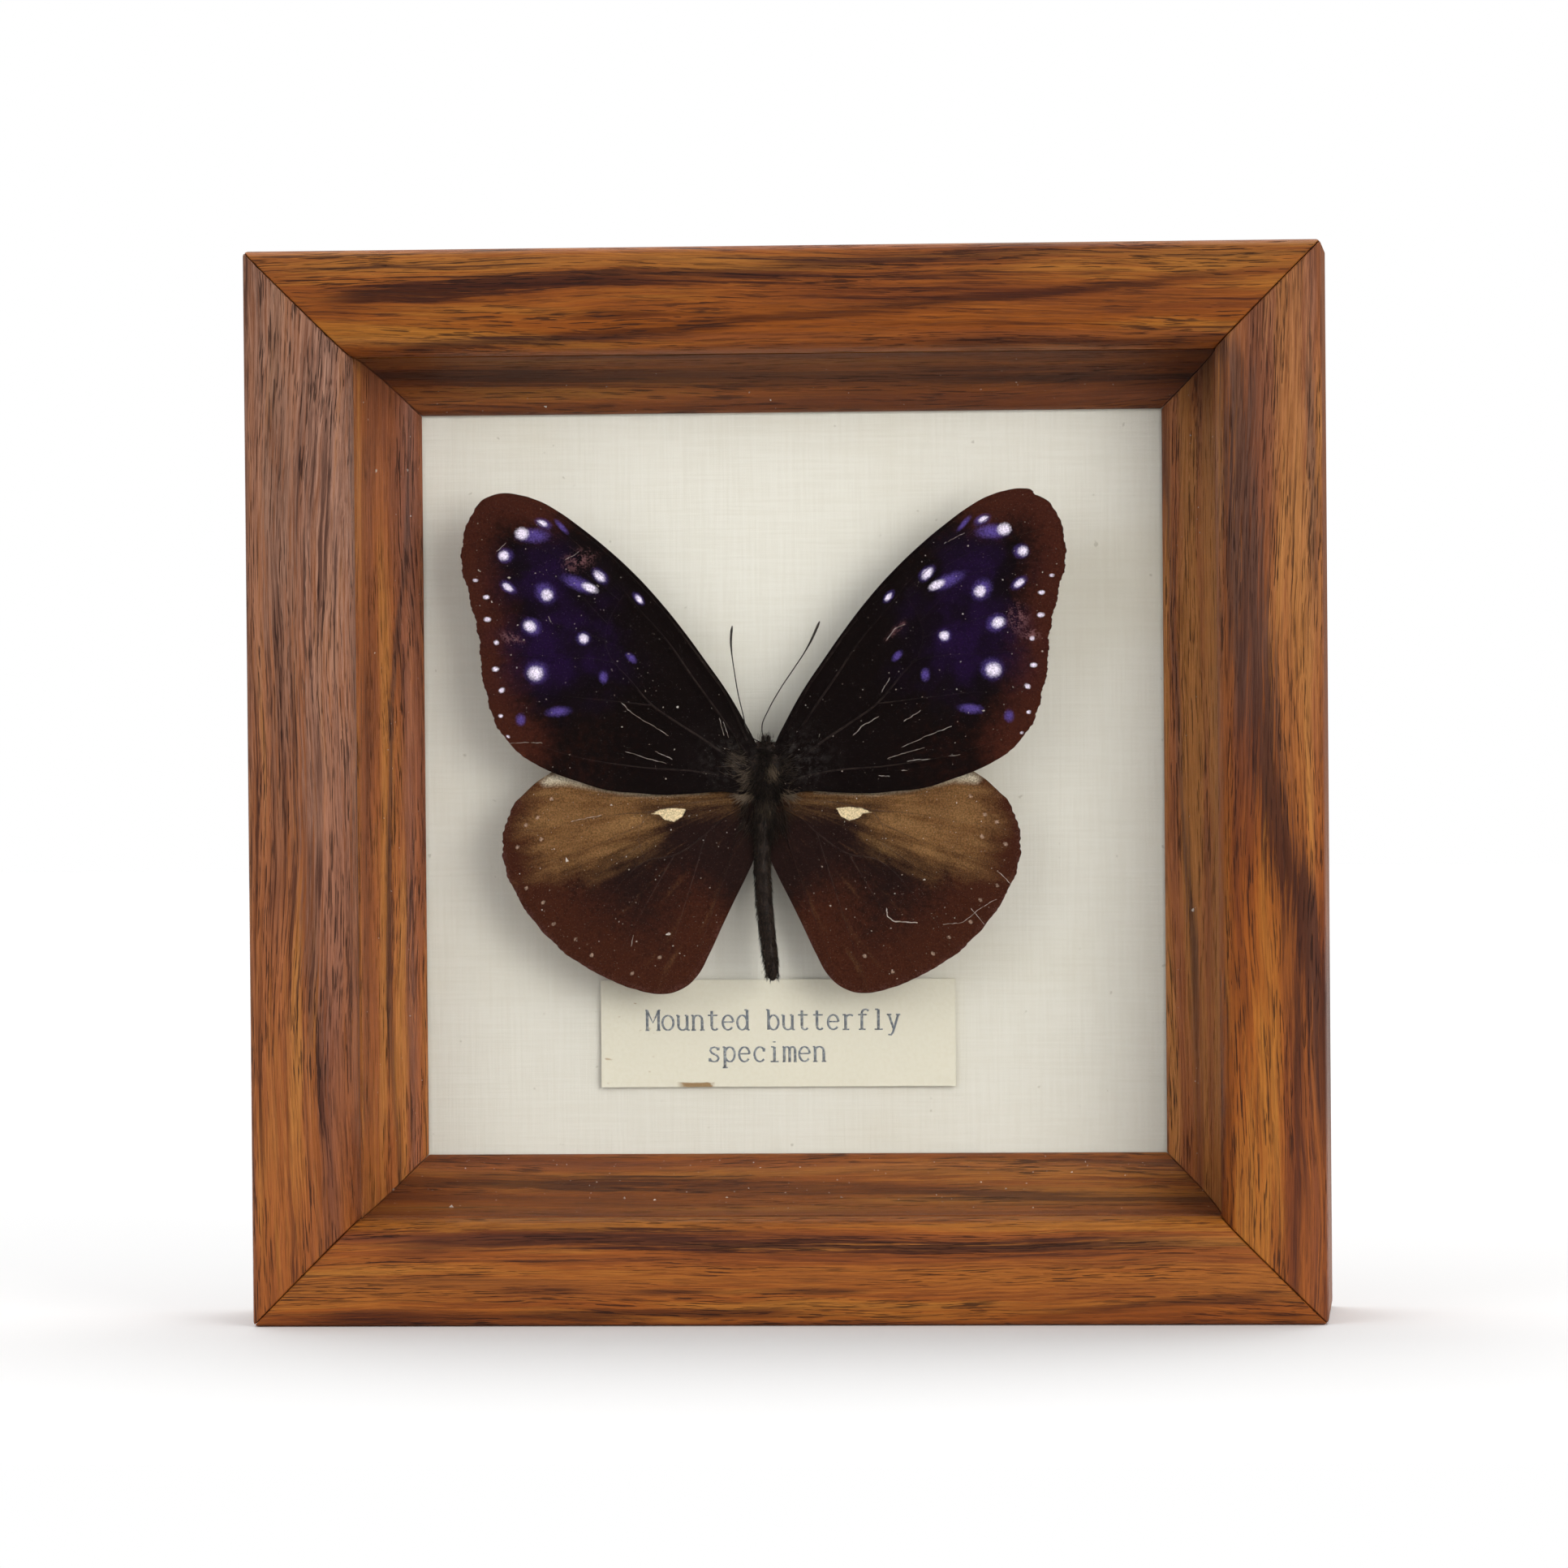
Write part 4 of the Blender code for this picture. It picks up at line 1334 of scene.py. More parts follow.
@dataclass
class LabelCard:
    """The label: a thin card whose corners lift a little, with two typed lines.

    Attributes:
        lines: the words, each with its height over the card's foot in millimetres and the middle of
            the line as a share of the card's width.
        lift: how far a corner stands off the board, in millimetres.
        pitch: the width of a letter's cell, in millimetres.
        tall: the height of a small letter, in millimetres.
        stock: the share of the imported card's thickness that the sheet has.
    """

    lines: Sequence[tuple[str, float, float]] = (
        ("Mounted butterfly", 6.8, 0.486), ("specimen", 3.0, 0.468))
    lift: float = 0.25
    pitch: float = 1.8
    tall: float = 1.75
    stock: float = 0.85

    def __post_init__(self) -> None:
        """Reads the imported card's corners and works out the sheet's thickness."""
        self.low, self.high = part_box("label_card")
        self.thick = (self.high.y - self.low.y) * self.stock

    def build(self) -> None:
        """Models the card and its lettering."""
        card, lettering = self.model_card(), self.model_lettering()
        dress(card, CardStock().material(self.low), "card", "label_card")
        dress(lettering, Ink().material(), "card")

    def stand_off(self, places: np.ndarray) -> np.ndarray:
        """How far the card stands off the board at some places, in metres."""
        low, high = self.low, self.high
        across = (places[:, 0] - low.x) / (high.x - low.x) * 2 - 1
        up = (places[:, 2] - low.z) / (high.z - low.z) * 2 - 1
        corners = np.abs(across) ** 5 * (0.35 + 0.65 * np.abs(up) ** 2)
        return self.lift * MM * corners + 0.05 * MM * up ** 2

    def model_card(self) -> Piece:
        """Models the card from a grid that is bowed and given its thickness."""
        low, high = self.low, self.high
        card = fresh(bpy.ops.mesh.primitive_grid_add, x_subdivisions=48, y_subdivisions=16, size=1.0,
                     location=((low.x + high.x) / 2, high.y, (low.z + high.z) / 2),
                     rotation=(math.pi / 2, 0, 0))
        card.name = card.data.name = "label_card_stock"
        card.scale = (high.x - low.x, high.z - low.z, 1)
        bpy.ops.object.transform_apply(location=True, rotation=True, scale=True)
        places = points_of(card)
        places[:, 1] -= self.stand_off(places)
        move_points(card, places)
        thicken(card, self.thick, 1.0)
        smooth(card, 40)
        return card

    def add_stroke(self, line: bpy.types.Curve, stroke: Points, left: float, foot: float) -> None:
        """Adds one stroke of a letter, thick where it is upright and thin where it is level.

        Args:
            line: the curve that holds the lettering.
            stroke: the stroke's points in the letter's cell.
            left: the cell's left side, in metres.
            foot: the letter's foot, in metres.
        """
        places = np.array(stroke) * (self.pitch, self.tall)
        runs = np.gradient(places, axis=0)
        upright = np.abs(runs[:, 1]) / np.hypot(*runs.T)
        across, up = places.T * MM
        level = np.column_stack((left + across, np.zeros(len(across)), foot + up))
        add_run(line, level, 0.1 + 0.06 * upright)

    def model_lettering(self) -> Piece:
        """Models the typed lines on the card's face, as one piece."""
        face = self.high.y - self.thick - 0.006 * MM
        line = wire("label_lettering", 1)
        for words, foot, share in self.lines:
            middle = self.low.x + share * (self.high.x - self.low.x)
            start = middle - len(words) * self.pitch * MM / 2
            for index, letter in enumerate(words):
                for stroke in LETTERS.get(letter, ()):
                    self.add_stroke(line, stroke, start + index * self.pitch * MM, self.low.z + foot * MM)
        lettering = as_mesh("label_lettering", line)
        places = points_of(lettering)
        places[:, 1] = face + places[:, 1] * 0.04 - self.stand_off(places)
        move_points(lettering, places)
        with Bench(lettering) as bench:
            bench.merge(1e-8)
        return lettering


# ---------------------------------------------------------------- the insect


@dataclass(frozen=True)
class Spot:
    """An oval mark on a wing, in millimetres from the wing's root.

    Attributes:
        out: how far out it lies.
        height: how high it lies.
        length: its longer axis.
        width: its shorter axis.
        turn: how far its longer axis rises outwards, in degrees.
    """

    out: float
    height: float
    length: float
    width: float
    turn: float = 0.0

    def field(self, out: np.ndarray, height: np.ndarray) -> np.ndarray:
        """Its field at some places: 1 at its middle, 0 on its edge and less outside."""
        turn = math.radians(self.turn)
        x, y = out - self.out, height - self.height
        along = (x * math.cos(turn) + y * math.sin(turn)) / (self.length / 2)
        across = (y * math.cos(turn) - x * math.sin(turn)) / (self.width / 2)
        return 1 - np.hypot(along, across)


def spots_field(spots: Sequence[Spot], out: np.ndarray, height: np.ndarray) -> np.ndarray:
    """The strongest field of several spots at some places, held above -1."""
    return np.maximum(np.max([spot.field(out, height) for spot in spots], axis=0), -1.0)


def along_runs(route: Points, places: np.ndarray) -> Iterator[tuple[np.ndarray, np.ndarray]]:
    """Measures some places against each run of a line of points.

    Args:
        route: the line's points.
        places: one row for each place.

    Yields:
        For each run, the share of it that each place lies along, and how far from it the place is.
    """
    corners = np.array(route, float)
    for start, end in zip(corners[:-1], corners[1:]):
        run = end - start
        share = np.clip((places - start) @ run / (run @ run), 0, 1)
        yield share, np.hypot(*(places - start - share[:, None] * run).T)


def distance_to(route: Points, out: np.ndarray, height: np.ndarray) -> np.ndarray:
    """How far each place lies from a line of points."""
    return np.min([away for _, away in along_runs(route, np.column_stack((out, height)))], axis=0)


def inside_of(outline: Points, out: np.ndarray, height: np.ndarray) -> np.ndarray:
    """How deep each place lies inside a closed outline, and less than 0 outside it.

    Args:
        outline: the outline's points.
        out: how far out each place lies.
        height: how high each place lies.

    Returns:
        The signed distances.
    """
    closed = [*outline, outline[0]]
    crossings = np.zeros(len(out), int)
    for (x0, y0), (x1, y1) in zip(closed[:-1], closed[1:]):
        if y0 == y1:
            continue
        spans = (height > min(y0, y1)) & (height <= max(y0, y1))
        crossings += spans & (out < x0 + (height - y0) * (x1 - x0) / (y1 - y0))
    return distance_to(closed, out, height) * np.where(crossings % 2 == 1, 1, -1)


def smooth_step(value: np.ndarray, low: float, high: float) -> np.ndarray:
    """Turns a range of values, from low to high, into a smooth step from 0 to 1."""
    share = np.clip((value - low) / (high - low), 0, 1)
    return share * share * (3 - 2 * share)


@dataclass(frozen=True)
class Vein:
    """A vein of a wing: its route in millimetres from the root, and its radius there and at its end."""

    route: Points
    thick: float = 0.13
    thin: float = 0.05


@dataclass
class Wing:
    """One wing: a thin sheet cut to its outline, with a camber, ribs of veins and marks.

    Attributes:
        plan: the frame's lines.
        hand: its side of the insect.
        kind: forewing or hindwing.
        outline: its edge, in millimetres out from the root and up from the frame's middle.
        veins: its veins.
        root: its root's x, in metres.
        depth: how far the root lies behind the front, in millimetres.
        pitch: the spacing of the sheet's points, in millimetres.
        skin: the sheet's thickness, in millimetres.
        lift: how far it rises outwards, in degrees.
    """

    plan: Plan
    hand: Hand
    kind: str
    outline: Points
    veins: Sequence[Vein]
    root: float
    depth: float
    pitch: float = 0.22
    skin: float = 0.09
    lift: float = 3.0

    def build(self, finish: Material) -> None:
        """Models the wing and dresses it in its finish."""
        node = f"{self.kind}_{self.hand.word}"
        sheet = self.cut_sheet()
        flat = points_of(sheet) / MM
        flat[:, 2] = self.relief(flat[:, 0], flat[:, 1])
        move_points(sheet, flat * MM)
        thicken(sheet, self.skin * MM)
        flat = points_of(sheet) / MM
        for name, values in self.marks(flat[:, 0], flat[:, 1]).items():
            set_mark(sheet, name, values)
        set_mark(sheet, "vein", np.zeros(len(flat)))
        ribs = [self.model_vein(vein) for vein in self.veins]
        piece = joined([sheet, *ribs], node + "_scales")
        self.set_in_place(piece)
        smooth(piece, 60)
        dress(piece, finish, self.kind, node)

    def cut_sheet(self) -> Piece:
        """Cuts a fine grid to the wing's outline."""
        wide = max(out for out, _ in self.outline) + 1
        low = min(height for _, height in self.outline) - 1
        tall = max(height for _, height in self.outline) + 1 - low
        size = max(wide, tall)
        steps = round(size / self.pitch)
        sheet = fresh(bpy.ops.mesh.primitive_grid_add, x_subdivisions=steps, y_subdivisions=steps,
                      size=size * MM, location=(size / 2 * MM, (low + size / 2) * MM, 0.01 * MM))
        bpy.ops.object.transform_apply(location=True)
        cutter = self.outline_block()
        only(sheet)
        cut = sheet.modifiers.new("outline", "BOOLEAN")
        cut.operation, cut.object, cut.solver = "INTERSECT", cutter, "EXACT"
        bpy.ops.object.modifier_apply(modifier=cut.name)
        bpy.data.objects.remove(cutter)
        return sheet

    def outline_block(self) -> Piece:
        """Makes a solid of the wing's outline, to cut with."""
        line = bpy.data.curves.new(self.kind, "CURVE")
        line.dimensions, line.fill_mode, line.extrude, line.resolution_u = "2D", "BOTH", 2 * MM, 9
        corners = np.column_stack((self.outline, np.zeros(len(self.outline)))) * MM
        add_bow(line, corners, np.ones(len(corners)), closed=True)
        block = as_mesh(self.kind, line)
        places = points_of(block)
        out, height = places[:, 0] / MM, places[:, 1] / MM
        notch = (0.09 * np.sin(height * 2.1 + np.sin(height * 0.7)) + 0.05 * np.sin(height * 7.3 + out * 2.0)
                 + 0.04 * np.sin(height * 17.0 - out * 9.0) - 0.09)
        outer, lower = smooth_step(out, 25, 30), smooth_step(-height, 12, 18) * smooth_step(out, 10, 14)
        places[:, 0] += notch * MM * np.maximum(outer, lower)
        move_points(block, places)
        with Bench(block) as bench:
            bench.merge()
        return block

    def model_vein(self, vein: Vein) -> Piece:
        """Models a vein as a tapering rib that lies half in the sheet."""
        line = wire("vein", 1)
        line.resolution_u = 6
        route = np.array(vein.route, float)
        heights = self.relief(route[:, 0], route[:, 1])
        add_bow(line, np.column_stack((route, heights)) * MM, np.linspace(vein.thick, vein.thin, len(route)))
        rib = as_mesh("vein", line)
        flat = points_of(rib) / MM
        own = self.nearest_height(route, heights, flat)
        flat[:, 2] += self.relief(flat[:, 0], flat[:, 1]) - own + self.skin * 0.3
        move_points(rib, flat * MM)
        for name, values in self.marks(flat[:, 0], flat[:, 1]).items():
            set_mark(rib, name, values)
        set_mark(rib, "vein", self.vein_shows(flat[:, 0], flat[:, 1]))
        return rib

    def vein_shows(self, out: np.ndarray, height: np.ndarray) -> np.ndarray:
        """How plainly a vein shows at some places: the nearer the root, the paler it is."""
        return 0.1 + 0.5 * smooth_step(out, 3, 9) * (1 - smooth_step(np.hypot(out, height), 15, 24))

    @staticmethod
    def nearest_height(route: np.ndarray, heights: np.ndarray, flat: np.ndarray) -> np.ndarray:
        """A rib's own middle height at each of its points, read along its straight runs.

        Args:
            route: the vein's points.
            heights: the height at each, in millimetres.
            flat: the rib's points, in millimetres.

        Returns:
            The heights, in millimetres.
        """
        best, result = np.full(len(flat), np.inf), np.zeros(len(flat))
        for (share, away), low, high in zip(along_runs(route, flat[:, :2]), heights[:-1], heights[1:]):
            result = np.where(away < best, low + share * (high - low), result)
            best = np.minimum(best, away)
        return result

    def set_in_place(self, piece: Piece) -> None:
        """Stands the flat wing up in the frame, at its root and lifted a little outwards."""
        side, rise = self.hand.value, math.tan(math.radians(self.lift))
        turn = Matrix(((side, 0, 0, self.root), (-rise, 0, -1, self.plan.depth(self.depth)),
                       (0, 1, 0, self.plan.middle), (0, 0, 0, 1)))
        piece.data.transform(turn)
        if side < 0:
            piece.data.flip_normals()

    def folds(self, out: np.ndarray, height: np.ndarray) -> np.ndarray:
        """How far the sheet rises over the veins, in millimetres."""
        return sum(0.07 * np.exp(-(distance_to(vein.route, out, height) / 0.55) ** 2) for vein in self.veins)

    def relief(self, out: np.ndarray, height: np.ndarray) -> np.ndarray:
        """How far the sheet stands towards the glass at some places.

        Args:
            out: how far out each place lies, in millimetres.
            height: how high each place lies, in millimetres.

        Returns:
            The distances, in millimetres.
        """
        raise NotImplementedError

    def marks(self, out: np.ndarray, height: np.ndarray) -> dict[str, np.ndarray]:
        """The wing's marks at some places, by name."""
        raise NotImplementedError


FOREWING_EDGE = (
    (1.2, 5.0), (2.4, 7.4), (4.5, 11.1), (6.9, 14.6), (9.4, 18.1), (12.1, 21.55), (15.3, 25.1),
    (18.95, 28.5), (21.8, 30.8), (24.3, 32.6), (26.8, 33.95), (29.6, 34.7), (31.0, 34.8), (32.5, 34.4),
    (33.8, 33.6), (34.6, 32.5), (35.15, 31.4), (35.55, 30.1), (35.85, 28.7), (35.95, 27.2), (35.85, 25.7),
    (35.55, 24.5), (35.25, 23.4), (34.9, 21.9), (34.4, 19.9), (34.1, 18.4), (33.85, 16.9), (33.8, 15.4),
    (33.75, 13.9), (33.45, 12.5), (33.1, 11.0), (32.7, 9.3), (32.2, 7.8), (31.3, 6.2), (29.9, 4.5),
    (27.4, 2.7), (25.4, 1.7), (22.4, 0.6), (18.8, -0.5), (15.0, -0.9), (12.6, -1.1), (8.9, -1.0),
    (5.1, -0.8), (1.6, -0.9), (0.9, 1.2), (0.7, 3.3),
)
CHIPPED_APEX = (
    (29.6, 34.7), (30.9, 34.8), (31.9, 34.6), (32.2, 34.15), (32.9, 33.85), (33.9, 33.3), (34.6, 32.5),
)
FOREWING_VEINS = (
    Vein(((2.2, 5.2), (4.8, 10.9), (7.2, 14.4), (12.4, 21.2), (19.1, 28.0), (24.5, 32.1), (29.0, 34.2)),
        0.2, 0.07),
    Vein(((2.2, 3.6), (5.7, 8.8), (8.6, 12.9), (11.4, 17.0), (14.5, 20.6), (17.6, 24.3), (21.5, 28.2),
        (25.3, 31.6)), 0.16, 0.05),
    Vein(((2.0, 1.4), (7.0, 5.2), (10.2, 7.3), (13.3, 9.5), (16.2, 12.8), (18.3, 15.3), (18.9, 17.3),
        (18.2, 20.0), (16.6, 22.6)), 0.16, 0.06),
    Vein(((13.3, 9.5), (16.8, 9.9), (20.1, 10.3), (25.0, 10.8), (32.9, 10.9)), 0.1, 0.04),
    Vein(((17.4, 14.4), (20.4, 15.1), (25.0, 15.3), (30.0, 15.6), (33.6, 16.0)), 0.1, 0.04),
    Vein(((18.9, 17.3), (24.0, 19.0), (29.5, 20.6), (34.4, 21.2)), 0.1, 0.04),
    Vein(((18.6, 19.2), (24.0, 24.4), (30.0, 25.9), (35.8, 26.0)), 0.09, 0.04),
    Vein(((17.2, 22.0), (23.5, 26.8), (29.5, 29.0), (35.3, 30.6)), 0.09, 0.04),
    Vein(((17.0, 22.9), (22.5, 28.0), (28.0, 32.0), (33.2, 33.4)), 0.09, 0.04),
    Vein(((2.2, 0.4), (8.0, 1.6), (15.0, 2.2), (23.0, 3.6), (30.6, 6.2)), 0.14, 0.04),
)
WHITE_SPOTS = (
    Spot(28.6, 30.0, 2.1, 1.8, 8), Spot(26.15, 31.2, 1.6, 0.85, 25), Spot(30.8, 27.4, 1.6, 1.5),
    Spot(30.35, 23.65, 1.8, 0.95, 35), Spot(25.7, 22.7, 1.8, 1.7, 60), Spot(19.45, 24.85, 2.1, 1.25, 45),
    Spot(20.6, 23.5, 2.6, 1.25, 25), Spot(14.8, 22.1, 1.5, 0.75, 50), Spot(27.8, 19.0, 2.0, 1.6, 25),
    Spot(21.4, 17.5, 1.5, 1.45), Spot(27.2, 13.4, 2.3, 2.1, -10), Spot(34.2, 24.5, 0.9, 0.5),
    Spot(32.95, 22.5, 1.0, 0.7), Spot(32.85, 19.85, 1.1, 0.75), Spot(31.8, 17.1, 0.8, 0.75),
    Spot(31.95, 13.95, 1.15, 0.75), Spot(31.2, 11.45, 1.0, 0.75, -35), Spot(31.35, 8.4, 0.75, 0.6),
    Spot(30.5, 5.95, 0.65, 0.45, 20),
)
VIOLET_SPOTS = (
    Spot(27.3, 29.75, 4.3, 1.9, 2), Spot(26.0, 31.15, 2.2, 1.2, 25), Spot(23.9, 30.75, 2.5, 0.7, 48),
    Spot(30.6, 27.4, 2.0, 1.8), Spot(30.3, 23.65, 2.3, 1.3, 35), Spot(25.9, 22.9, 3.0, 2.4, 50),
    Spot(19.4, 24.85, 2.5, 1.5, 45), Spot(21.9, 23.95, 4.7, 1.7, 24), Spot(14.85, 22.15, 1.9, 1.0, 50),
    Spot(27.6, 18.95, 2.6, 2.2, 25), Spot(21.45, 17.5, 1.8, 1.7), Spot(15.8, 15.15, 1.7, 0.95, 45),
    Spot(19.1, 12.9, 1.2, 1.7, 0), Spot(27.05, 13.5, 2.9, 2.7), Spot(24.5, 8.85, 3.2, 1.3, -6),
    Spot(29.0, 7.95, 1.3, 1.6, 0),
)

WORN_SPOTS = {
    Hand.LEFT: (Spot(21.8, 26.8, 4.2, 2.4, -20), Spot(30.0, 17.6, 2.8, 1.3, 20)),
    Hand.RIGHT: (Spot(30.2, 19.6, 2.4, 3.4), Spot(31.6, 17.6, 2.2, 1.6), Spot(15.6, 18.2, 3.2, 0.8, 42)),
}


@dataclass
class Forewing(Wing):
    """A forewing, with white and violet spots on a violet gloss."""

    def relief(self, out: np.ndarray, height: np.ndarray) -> np.ndarray:
        """Cambers the sheet, and folds it gently over the veins."""
        camber = 0.35 * np.sin(np.clip(out / 36, 0, 1) * math.pi)
        edge = -0.02 * np.clip(distance_to(self.veins[0].route, out, height) - 2, 0, 12)
        folds = self.folds(out, height)
        waves = 0.05 * np.sin(out * 0.55 + height * 0.32) + 0.04 * np.sin(height * 0.8 - out * 0.2)
        return camber + edge + folds + waves * smooth_step(out, 3, 16)

    def marks(self, out: np.ndarray, height: np.ndarray) -> dict[str, np.ndarray]:
        """The forewing's marks."""
        inner = [place for place in FOREWING_EDGE if place[0] < 34 and place[1] < 6]
        margin = distance_to(FOREWING_EDGE[10:35], out, height)
        gloss = np.exp(-(((out - 23.5) / 8) ** 2 + ((height - 17.0) / 7.5) ** 2))
        gloss = np.maximum(gloss, 0.8 * np.exp(-(((out - 25.5) / 6.5) ** 2 + ((height - 24.5) / 5.5) ** 2)))
        low_edge = distance_to(inner, out, height)
        rim = np.maximum(1.05 - margin / 7.5, 0.3 * (1 - low_edge / 5.0)) * smooth_step(out, 12, 24)
        rim = np.maximum(rim, 0.3 * smooth_step(out, 4, 24) * (1 - gloss))
        dusted = np.exp(-((out - 4.2) / 3.4) ** 2 - ((height - 3.0) / 3.2) ** 2)
        return {
            "white": spots_field(WHITE_SPOTS, out, height),
            "violet": spots_field(VIOLET_SPOTS, out, height),
            "gloss": gloss, "rim": np.clip(rim, 0, 1), "dusted": dusted,
            "worn": np.clip(spots_field(WORN_SPOTS[self.hand], out, height) + 0.35, 0, 1),
        }


HINDWING_EDGE = (
    (1.2, 0.2), (3.4, 0.9), (6.0, 2.2), (12.0, 3.4), (18.0, 3.6), (22.5, 2.8), (25.3, 1.4), (28.2, -0.8),
    (29.9, -2.9), (30.6, -5.0), (30.9, -7.0), (30.7, -9.2), (29.9, -11.6), (28.6, -14.0), (27.0, -16.3),
    (24.6, -18.9), (22.0, -21.0), (18.5, -22.9), (15.6, -24.1), (12.2, -24.8), (9.8, -24.3), (7.9, -22.8),
    (6.3, -20.0), (4.8, -16.8), (3.2, -13.5), (1.75, -10.6), (0.9, -8.6), (0.5, -6.0), (0.7, -2.8),
)
HINDWING_VEINS = (
    Vein(((3.0, -0.9), (8.0, -1.1), (13.5, -1.3), (18.5, -1.2), (23.5, -0.9), (28.0, -1.6)), 0.14, 0.05),
    Vein(((3.0, -1.6), (9.5, -2.3), (13.2, -3.1), (17.0, -3.4), (22.7, -4.3), (30.2, -5.6)), 0.14, 0.04),
    Vein(((13.2, -3.1), (14.6, -5.5), (13.9, -8.9)), 0.08, 0.05),
    Vein(((14.4, -4.7), (20.0, -7.2), (30.0, -10.2)), 0.1, 0.04),
    Vein(((14.3, -7.0), (20.0, -11.0), (27.4, -15.2)), 0.1, 0.04),
    Vein(((2.8, -2.2), (8.0, -6.9), (10.4, -8.3), (14.0, -9.1), (19.0, -14.4), (23.2, -19.6)), 0.13,
        0.04),
    Vein(((10.4, -8.3), (14.0, -14.5), (18.4, -22.5)), 0.1, 0.04),
    Vein(((6.5, -5.6), (8.5, -12.0), (12.4, -24.2)), 0.1, 0.04),
    Vein(((2.4, -2.8), (3.4, -7.7), (5.2, -13.0), (8.6, -22.6)), 0.12, 0.04),
)
GOLD_PATCH = (
    (3.6, 0.0), (4.0, -1.9), (9.1, -2.4), (13.2, -3.4), (12.4, -4.6), (12.6, -6.0), (14.1, -7.1),
    (16.5, -8.2), (18.3, -9.6), (20.4, -10.6), (21.6, -9.8), (24.3, -10.4), (26.2, -9.8), (27.4, -7.4),
    (28.0, -4.4), (27.6, -2.0), (26.2, 0.4), (24.0, 3.0), (14.0, 3.5),
)
CREAM_SPOT = (
    (8.9, -2.85), (10.4, -2.7), (12.0, -2.8), (13.2, -3.4), (12.05, -3.5), (11.6, -4.05), (10.4, -4.35),
    (9.4, -3.75),
)
PALE_EDGE = (
    (6.0, -1.35), (10.0, -1.6), (13.5, -1.75), (17.0, -1.35), (20.0, -0.8), (23.0, -0.3), (26.0, -0.4),
    (26.8, 0.6), (25.6, 1.6), (22.0, 3.2), (14.0, 3.2), (6.0, 1.0),
)


@dataclass
class Hindwing(Wing):
    """A hindwing, brown with a bare golden patch at its front edge."""

    def relief(self, out: np.ndarray, height: np.ndarray) -> np.ndarray:
        """Cambers the sheet, and folds it gently over the veins."""
        camber = 0.3 * np.sin(np.clip(out / 31, 0, 1) * math.pi)
        folds = self.folds(out, height)
        waves = 0.07 * np.sin(np.arctan2(height + 1, out) * 11) * smooth_step(out, 5, 20)
        tuck = -0.35 * smooth_step(height, -1.0, 2.5)
        return camber + folds + waves + tuck

    def marks(self, out: np.ndarray, height: np.ndarray) -> dict[str, np.ndarray]:
        """The hindwing's marks."""
        margin = distance_to(HINDWING_EDGE[7:24], out, height)
        dots = [Spot(*place, 0.75, 0.55, -45) for place in
                ((22.2, -18.2), (24.8, -16.4), (28.0, -12.1), (12.2, -20.4), (15.5, -22.3), (20.3, -20.1),
                 (26.2, -6.3), (26.6, -3.7), (24.9, -1.5), (28.0, -4.6), (29.0, -7.2), (26.0, -13.8))]
        return {
            "gold": np.clip(inside_of(GOLD_PATCH, out, height) / 2.9, -1, 1),
            "angle": np.arctan2(height + 1.5, out), "reach": np.hypot(out, height + 1.5),
            "pale": np.clip(inside_of(PALE_EDGE, out, height) / 1.2, -1, 1),
            "cream": np.clip(inside_of(CREAM_SPOT, out, height) / 0.5, -1, 1),
            "white": spots_field(dots, out, height),
            "rim": np.clip(1.1 - margin / 13.0, 0, 1) * smooth_step(out - height * 0.7, 7, 20),
            "worn": np.clip(0.5 - margin / 1.5, 0, 1) * 0.6,
        }


def hair(name: str, roots: np.ndarray, aims: np.ndarray, lengths: np.ndarray, radius: float,
         bends: np.ndarray, tones: np.ndarray) -> Piece:
    """Makes many fine hairs as one piece; each is a bent three-sided spike.

    Args:
        name: the piece's name.
        roots: where each hair starts, in metres.
        aims: the direction of each.
        lengths: the length of each, in metres.
        radius: their radius at the root, in metres.
        bends: how far each tip is carried away, in metres.
        tones: the tone of each, from 0 for dark to 1 for light.

    Returns:
        The piece.
    """
    aims = aims / np.linalg.norm(aims, axis=1, keepdims=True)
    other = np.where(np.abs(aims[:, :1]) < 0.8, (1.0, 0.0, 0.0), (0.0, 0.0, 1.0))
    side = np.cross(aims, other)
    side /= np.linalg.norm(side, axis=1, keepdims=True)
    ring_points = []
    for share, slim in ((0.0, 1.0), (0.45, 0.8), (0.8, 0.45)):
        middle = roots + aims * (lengths * share)[:, None] + bends * share ** 2
        for corner in range(3):
            turn = 2 * math.pi * corner / 3
            spoke = side * math.cos(turn) + np.cross(aims, side) * math.sin(turn)
            ring_points.append(middle + spoke * radius * slim)
    tip = roots + aims * lengths[:, None] + bends
    one = [(ring * 3 + k, ring * 3 + (k + 1) % 3, ring * 3 + 3 + (k + 1) % 3, ring * 3 + 3 + k)
           for ring in range(2) for k in range(3)]
    one += [(6 + k, 6 + (k + 1) % 3, 9) for k in range(3)] + [(2, 1, 0)]
    piece = many_shapes(name, np.stack([*ring_points, tip], axis=1), one)
    set_mark(piece, "tone", np.repeat(tones, 10))
    return piece


@dataclass(frozen=True)
class Tuft:
    """A tuft of hair; places are in millimetres from the body's axis, the frame's middle and its front.

    Attributes:
        centre: its middle: out to the right, up and behind the front.
        spread: how far its roots scatter, in the same directions.
        aim: where its hairs point.
        count: how many hairs it has.
        length: their mean length.
        tones: the range of their tones, from 0 for dark to 1 for light.
    """

    centre: Sequence[float]
    spread: Sequence[float]
    aim: Sequence[float]
    count: int
    length: float
    tones: tuple[float, float] = (0.0, 0.2)


